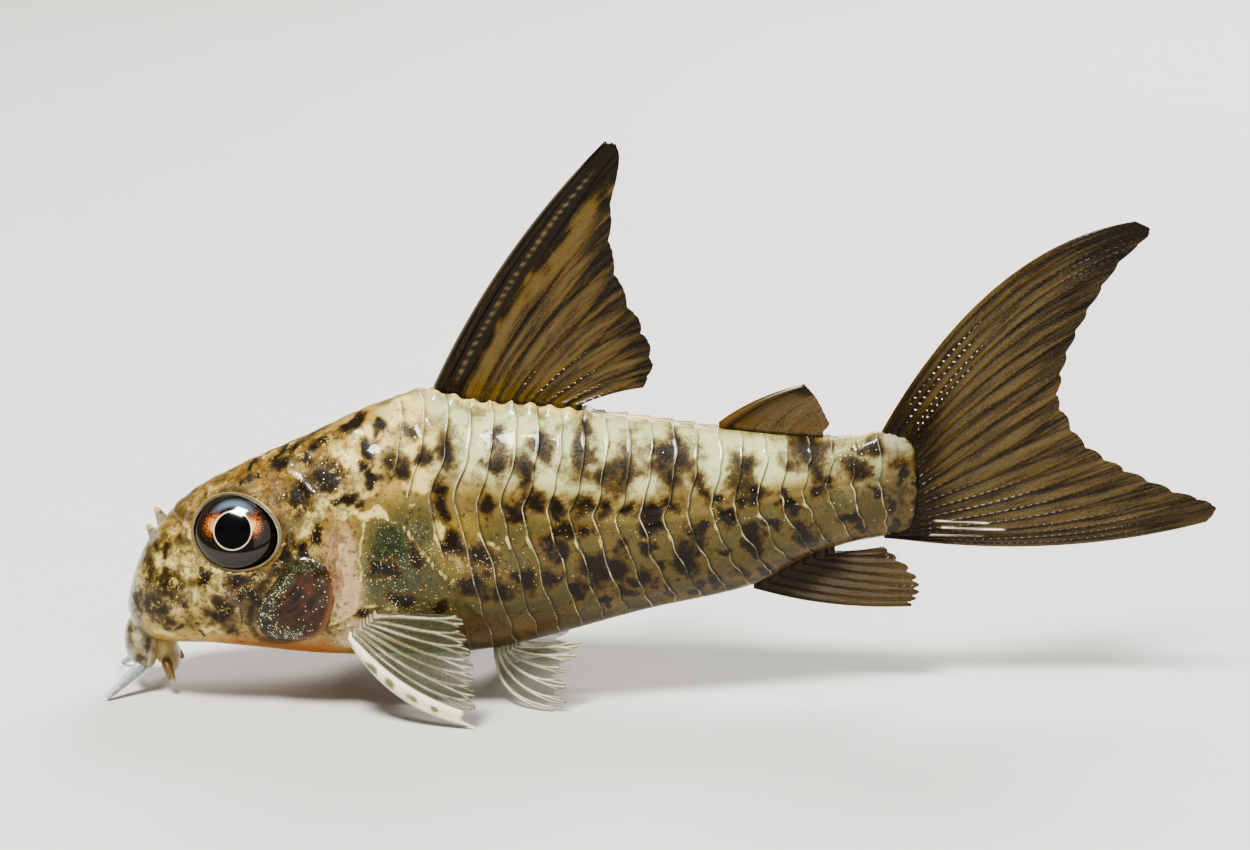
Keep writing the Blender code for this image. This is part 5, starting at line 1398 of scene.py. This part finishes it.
def glazed_eye():
    """Glass over a painted iris: black pupil, thin pale gold ring, copper flecks, a painted grey-blue
    reflection above.
    """
    colours = bpy.context.scene.catfish_eye
    material, tree, shader = new_material("glazed_glass_eye")
    flat = add(tree, "SeparateXYZ", {0: add(tree, "UVMap", uv_map="UVMap")}).node.outputs
    level, rise = flat[0], flat[1]
    square = add(tree, "Math", {0: level, 1: level}, operation="MULTIPLY")
    square = add(tree, "Math", {0: rise, 1: rise, 2: square}, operation="MULTIPLY_ADD")
    reach = add(tree, "Math", {0: square}, operation="SQRT")
    place = add(tree, "TexCoord").node.outputs["Object"]
    flecks, broad = (
        add(tree, "TexNoise", {
            "Vector": place, "Scale": MM_PER_M / size, "Detail": steps, "Roughness": rough})
        for size, steps, rough in ((0.10, 4.0, 0.7), (0.5, 2.0, 0.5)))

    # Copper lies left and right of the pupil and fades outwards; a grey-blue band over the pupil is a painted
    # reflection
    ratio = add(tree, "Math", {0: rise, 1: reach}, operation="DIVIDE")
    high = add(tree, "Math", {0: ratio, 1: 0.25}, operation="SUBTRACT")
    high = add(tree, "Math", {0: high}, operation="ABSOLUTE")
    beside, near, above, start, end, ring_in, ring_out, pupil = (
        add(tree, "MapRange", {0: field, 1: low, 2: high})
        for field, low, high in (
            (high, 0.75, 0.1), (reach, 1.9, 1.05), (ratio, 0.55, 0.95), (reach, 1.20, 1.38),
            (reach, 1.75, 1.50), (reach, 0.99, 1.02), (reach, 1.10, 1.06), (reach, 1.02, 0.99)))
    glow = add(tree, "Math", {0: beside, 1: near}, operation="MULTIPLY")
    glow = add(tree, "Math", {0: glow, 1: 0.55, 2: flecks}, operation="MULTIPLY_ADD")
    copper, hot = (
        add(tree, "MapRange", {0: glow, 1: low, 2: high}) for low, high in ((0.62, 0.88), (0.82, 0.98)))
    reflection_band = above
    for share in (start, end):
        reflection_band = add(tree, "Math", {0: reflection_band, 1: share}, operation="MULTIPLY")
    ring = add(tree, "Math", {0: ring_in, 1: ring_out}, operation="MULTIPLY")
    iris = add(tree, "Mix", {0: broad, 6: colours.iris, 7: colours.iris_light}, data_type="RGBA")
    for share, pigment in (
            (copper, colours.copper), (hot, colours.gold), (reflection_band, colours.sheen), (ring, colours.ring),
            (pupil, colours.pupil)):
        iris = add(tree, "Mix", {0: share, 6: iris, 7: pigment}, data_type="RGBA")
    metal = add(tree, "Math", {0: hot, 1: ring}, operation="MAXIMUM")
    metal = add(tree, "Math", {0: metal, 1: 0.5}, operation="MULTIPLY")
    fill(tree, shader, {
        "Roughness": 0.12, "IOR": 1.45, "Base Color": iris, "Metallic": metal,
        "Specular IOR Level": 0.25, "Coat Weight": 0.8, "Coat Roughness": 0.02,
    })
    return material


def colour(name, text, hex_colour):
    """A colour setting of a property group."""
    tone = linear(hex_colour)
    return bpy.props.FloatVectorProperty(name=name, description=text, default=tone, subtype="COLOR")


class CatfishMouth(bpy.types.PropertyGroup):
    """Colours of the lips and whiskers."""

    lip_dark: colour("Lip dark", "Dark mottling of the lips", "4a3c24")
    lip_grey: colour("Lip grey", "Light mottling of the lips", "a2997a")
    lip_beige: colour("Lip beige", "Soft lobe behind the lips", "ac965c")
    lip_pale: colour("Lip pale", "Whitish ridges of the lips", "b3b1a0")
    barbel_grey: colour("Whisker grey", "Blue-grey flesh of the whiskers", "5b666c")
    barbel_pale: colour("Whisker pale", "Pale edges and tips of the whiskers", "b9c0bf")
    barbel_dark: colour("Whisker dark", "Brown flesh of the lower whiskers", "7a6238")


class CatfishFins(bpy.types.PropertyGroup):
    """Colours of the fins."""

    dorsal_film: colour("Dorsal film", "Membrane of the dorsal fin", "654f18")
    dorsal_rays: colour("Dorsal rays", "Rays and spine of the dorsal fin", "6b5426")
    dorsal_dark: colour("Dorsal pigment", "Streaks of the dorsal fin", "1d1409")
    dorsal_pale: colour("Dorsal beads", "Beads and front edge of the dorsal fin", "6f695c")
    clear_film: colour("Clear film", "Membrane of the adipose and anal fins", "5a4414")
    clear_rays: colour("Clear rays", "Rays of the adipose and anal fins", "5c4212")
    clear_dark: colour("Clear pigment", "Streaks of the adipose and anal fins", "2a1b08")
    clear_pale: colour("Clear light", "Light front edge of the adipose fin", "c49a5c")
    tail_film: colour("Tail film", "Membrane of the tail fin", "5d4810")
    tail_rays: colour("Tail rays", "Rays of the tail fin", "33230a")
    tail_dark: colour("Tail pigment", "Streaks of the tail fin", "1c1204")
    # Painted highlight on the tail's lowest rays
    tail_pale: colour("Tail light", "Bright lower rays of the tail fin", "f2ead2")
    paired_film: colour("Paired film", "Membrane of the pectoral and pelvic fins", "565d45")
    paired_rays: colour("Paired rays", "Rays and spines of the paired fins", "ebe3c2")
    paired_dark: colour("Paired pigment", "Dashes on the paired fins", "7b7048")
    paired_pale: colour("Paired light", "Bright rims of the pectoral spines", "f4efe0")
    rust: colour("Rust", "Soft brown streaks of every fin", "42300f")
    # Painted highlights on the rays' joints
    glint: colour("Glints", "Bright beads on the rays", "fdf3dc")


class CatfishSkin(bpy.types.PropertyGroup):
    """Relief and pigments of the skin."""

    plate_rise: bpy.props.FloatProperty(
        name="Plate rise", description="Height of a plate's rear edge", default=0.11 * MM, unit="LENGTH",
        precision=5)
    rim_rise: bpy.props.FloatProperty(
        name="Rim rise", description="Height of the rim on a plate's edge", default=0.035 * MM, unit="LENGTH",
        precision=5)
    # Ivory also paints highlights: on the plates' hooks, the back's ridge, the ridge under the eye and the
    # patches behind the shoulder
    ivory: colour("Ivory", "Bright patches of head and nape", "dac67f")
    haze: colour("Haze", "Brown smoke between the markings", "6c592c")
    olive: colour("Olive", "Soft outer part of the blotches", "54401b")
    # Umber also paints the shade in the plates' creases, the groove round the gill plate and the eye socket
    umber: colour("Umber", "Dark middle of the blotches", "170e05")
    # The pale plate edges are partly painted highlight; this colour is also the white of the glints
    edge: colour("Plate edge", "Pale rear edges of the plates", "f6edc4")
    lid: colour("Eyelid", "Greenish grey of the ring round the eye", "6f6038")
    rim: colour("Eye rim", "Pale rims round the eye", "9c9f92")
    glint_green: colour("Green glint", "Green end of the glints", "9fd8a4")
    glint_gold: colour("Gold glint", "Gold end of the glints", "f0c860")
    gill_dark: colour("Gill dark", "Dark parts of the gill plate", "170d07")
    gill_red: colour("Gill red", "Red-brown parts of the gill plate", "4d2b12")
    gill_pink: colour("Gill pink", "Rear edge of the gill plate", "8e5f3a")
    gill_green: colour("Gill green", "Green sheen on the front of the gill plate", "3f5b46")
    gill_rim: colour("Gill rim", "Edge of the gill plate", "33240f")


class CatfishEye(bpy.types.PropertyGroup):
    """Colours of the eye."""

    pupil: colour("Pupil", "Black of the pupil", "020304")
    ring: colour("Ring", "Thin ring round the pupil", "fff0c8")
    iris: colour("Iris", "Dark ground of the iris", "0d0806")
    iris_light: colour("Iris light", "Lighter parts of the iris", "20140e")
    copper: colour("Copper", "Flecks beside the pupil", "b8642c")
    gold: colour("Gold", "Brightest flecks", "ffc878")
    # Painted reflection over the pupil
    sheen: colour("Sheen", "Band over the pupil", "5c6c78")


class CatfishStage(bpy.types.PropertyGroup):
    """Floor, lights and camera."""

    paper: colour("Paper", "Colour of the floor", "cfccc6")
    key_power: bpy.props.FloatProperty(
        name="Key", description="Power of the light from the left and above", default=3.4, unit="POWER")
    fill_power: bpy.props.FloatProperty(
        name="Fill", description="Power of the light from the right", default=0.7, unit="POWER")
    back_power: bpy.props.FloatProperty(
        name="Back", description="Power of the light from behind", default=2.0, unit="POWER")
    air: bpy.props.FloatProperty(name="Air", description="Strength of the light from all round", default=0.34)
    aim: bpy.props.FloatVectorProperty(
        name="Aim", description="Point that the camera looks at", default=(-0.00206, 0, 0.01497),
        subtype="TRANSLATION")
    distance: bpy.props.FloatProperty(
        name="Distance", description="Camera to aim", default=0.191, unit="LENGTH")
    elevation: bpy.props.FloatProperty(
        name="Elevation", description="How far the camera looks down", default=math.radians(15),
        subtype="ANGLE")
    lens: bpy.props.FloatProperty(
        name="Lens", description="Focal length", default=100, subtype="DISTANCE_CAMERA")


class CATFISH_OT_skin(bpy.types.Operator):
    """Build the skin with its plates and markings"""

    bl_idname = "catfish.skin"
    bl_label = "Skin"

    def execute(self, context):
        make_skin()
        return {"FINISHED"}


class CATFISH_OT_eyes(bpy.types.Operator):
    """Build both eyes"""

    bl_idname = "catfish.eyes"
    bl_label = "Eyes"

    def execute(self, context):
        make_eyes()
        make_eyelids()
        return {"FINISHED"}


class CATFISH_OT_gill_covers(bpy.types.Operator):
    """Build both gill plates"""

    bl_idname = "catfish.gill_covers"
    bl_label = "Gill covers"

    def execute(self, context):
        make_gill_covers()
        return {"FINISHED"}


class CATFISH_OT_mouth(bpy.types.Operator):
    """Build the lips"""

    bl_idname = "catfish.mouth"
    bl_label = "Mouth"

    def execute(self, context):
        make_mouth()
        return {"FINISHED"}


class CATFISH_OT_barbels(bpy.types.Operator):
    """Build the four whiskers"""

    bl_idname = "catfish.barbels"
    bl_label = "Whiskers"

    def execute(self, context):
        make_barbels()
        return {"FINISHED"}


class CATFISH_OT_nostril_flaps(bpy.types.Operator):
    """Build the flaps in front of the eyes"""

    bl_idname = "catfish.nostril_flaps"
    bl_label = "Nostril flaps"

    def execute(self, context):
        make_nostril_flaps()
        return {"FINISHED"}


class CATFISH_OT_dorsal_fin(bpy.types.Operator):
    """Build the tall fin on the back"""

    bl_idname = "catfish.dorsal_fin"
    bl_label = "Dorsal fin"

    def execute(self, context):
        make_dorsal_fin()
        return {"FINISHED"}


class CATFISH_OT_small_fins(bpy.types.Operator):
    """Build the small fins before the tail"""

    bl_idname = "catfish.small_fins"
    bl_label = "Adipose and anal fins"

    def execute(self, context):
        make_small_fins()
        return {"FINISHED"}


class CATFISH_OT_tail_fin(bpy.types.Operator):
    """Build the forked tail fin"""

    bl_idname = "catfish.tail_fin"
    bl_label = "Tail fin"

    def execute(self, context):
        make_tail_fin()
        return {"FINISHED"}


class CATFISH_OT_paired_fins(bpy.types.Operator):
    """Build the pectoral and pelvic fins"""

    bl_idname = "catfish.paired_fins"
    bl_label = "Paired fins"

    def execute(self, context):
        make_paired_fins()
        return {"FINISHED"}


class CATFISH_OT_stage(bpy.types.Operator):
    """Build the floor, the lights and the camera"""

    bl_idname = "catfish.stage"
    bl_label = "Stage"

    def execute(self, context):
        make_stage()
        return {"FINISHED"}


GROUPS = (
    ("catfish_skin", CatfishSkin), ("catfish_eye", CatfishEye), ("catfish_mouth", CatfishMouth),
    ("catfish_fins", CatfishFins), ("catfish_stage", CatfishStage),
)
STEPS = (
    CATFISH_OT_stage, CATFISH_OT_skin, CATFISH_OT_eyes, CATFISH_OT_gill_covers, CATFISH_OT_mouth,
    CATFISH_OT_barbels, CATFISH_OT_nostril_flaps, CATFISH_OT_dorsal_fin, CATFISH_OT_small_fins,
    CATFISH_OT_tail_fin, CATFISH_OT_paired_fins,
)


class CATFISH_PT_panel(bpy.types.Panel):
    """Lists the sizes, the colours and the steps"""

    bl_label = "Catfish"
    bl_space_type = "VIEW_3D"
    bl_region_type = "UI"
    bl_category = "Catfish"

    def draw(self, context):
        for step in STEPS:
            self.layout.operator(step.bl_idname)
        for name, group in GROUPS:
            box = self.layout.box()
            for prop in group.__annotations__:
                box.prop(getattr(context.scene, name), prop)


def register():
    for _, group in GROUPS:
        bpy.utils.register_class(group)
    for name, group in GROUPS:
        setattr(bpy.types.Scene, name, bpy.props.PointerProperty(type=group))
    for step in STEPS:
        bpy.utils.register_class(step)
    bpy.utils.register_class(CATFISH_PT_panel)


def unregister():
    bpy.utils.unregister_class(CATFISH_PT_panel)
    for step in reversed(STEPS):
        bpy.utils.unregister_class(step)
    for name, group in reversed(GROUPS):
        delattr(bpy.types.Scene, name)
        bpy.utils.unregister_class(group)


def main():
    register()
    for step in STEPS:
        group, name = step.bl_idname.split(".")
        getattr(getattr(bpy.ops, group), name)()


if __name__ == "__main__":
    main()
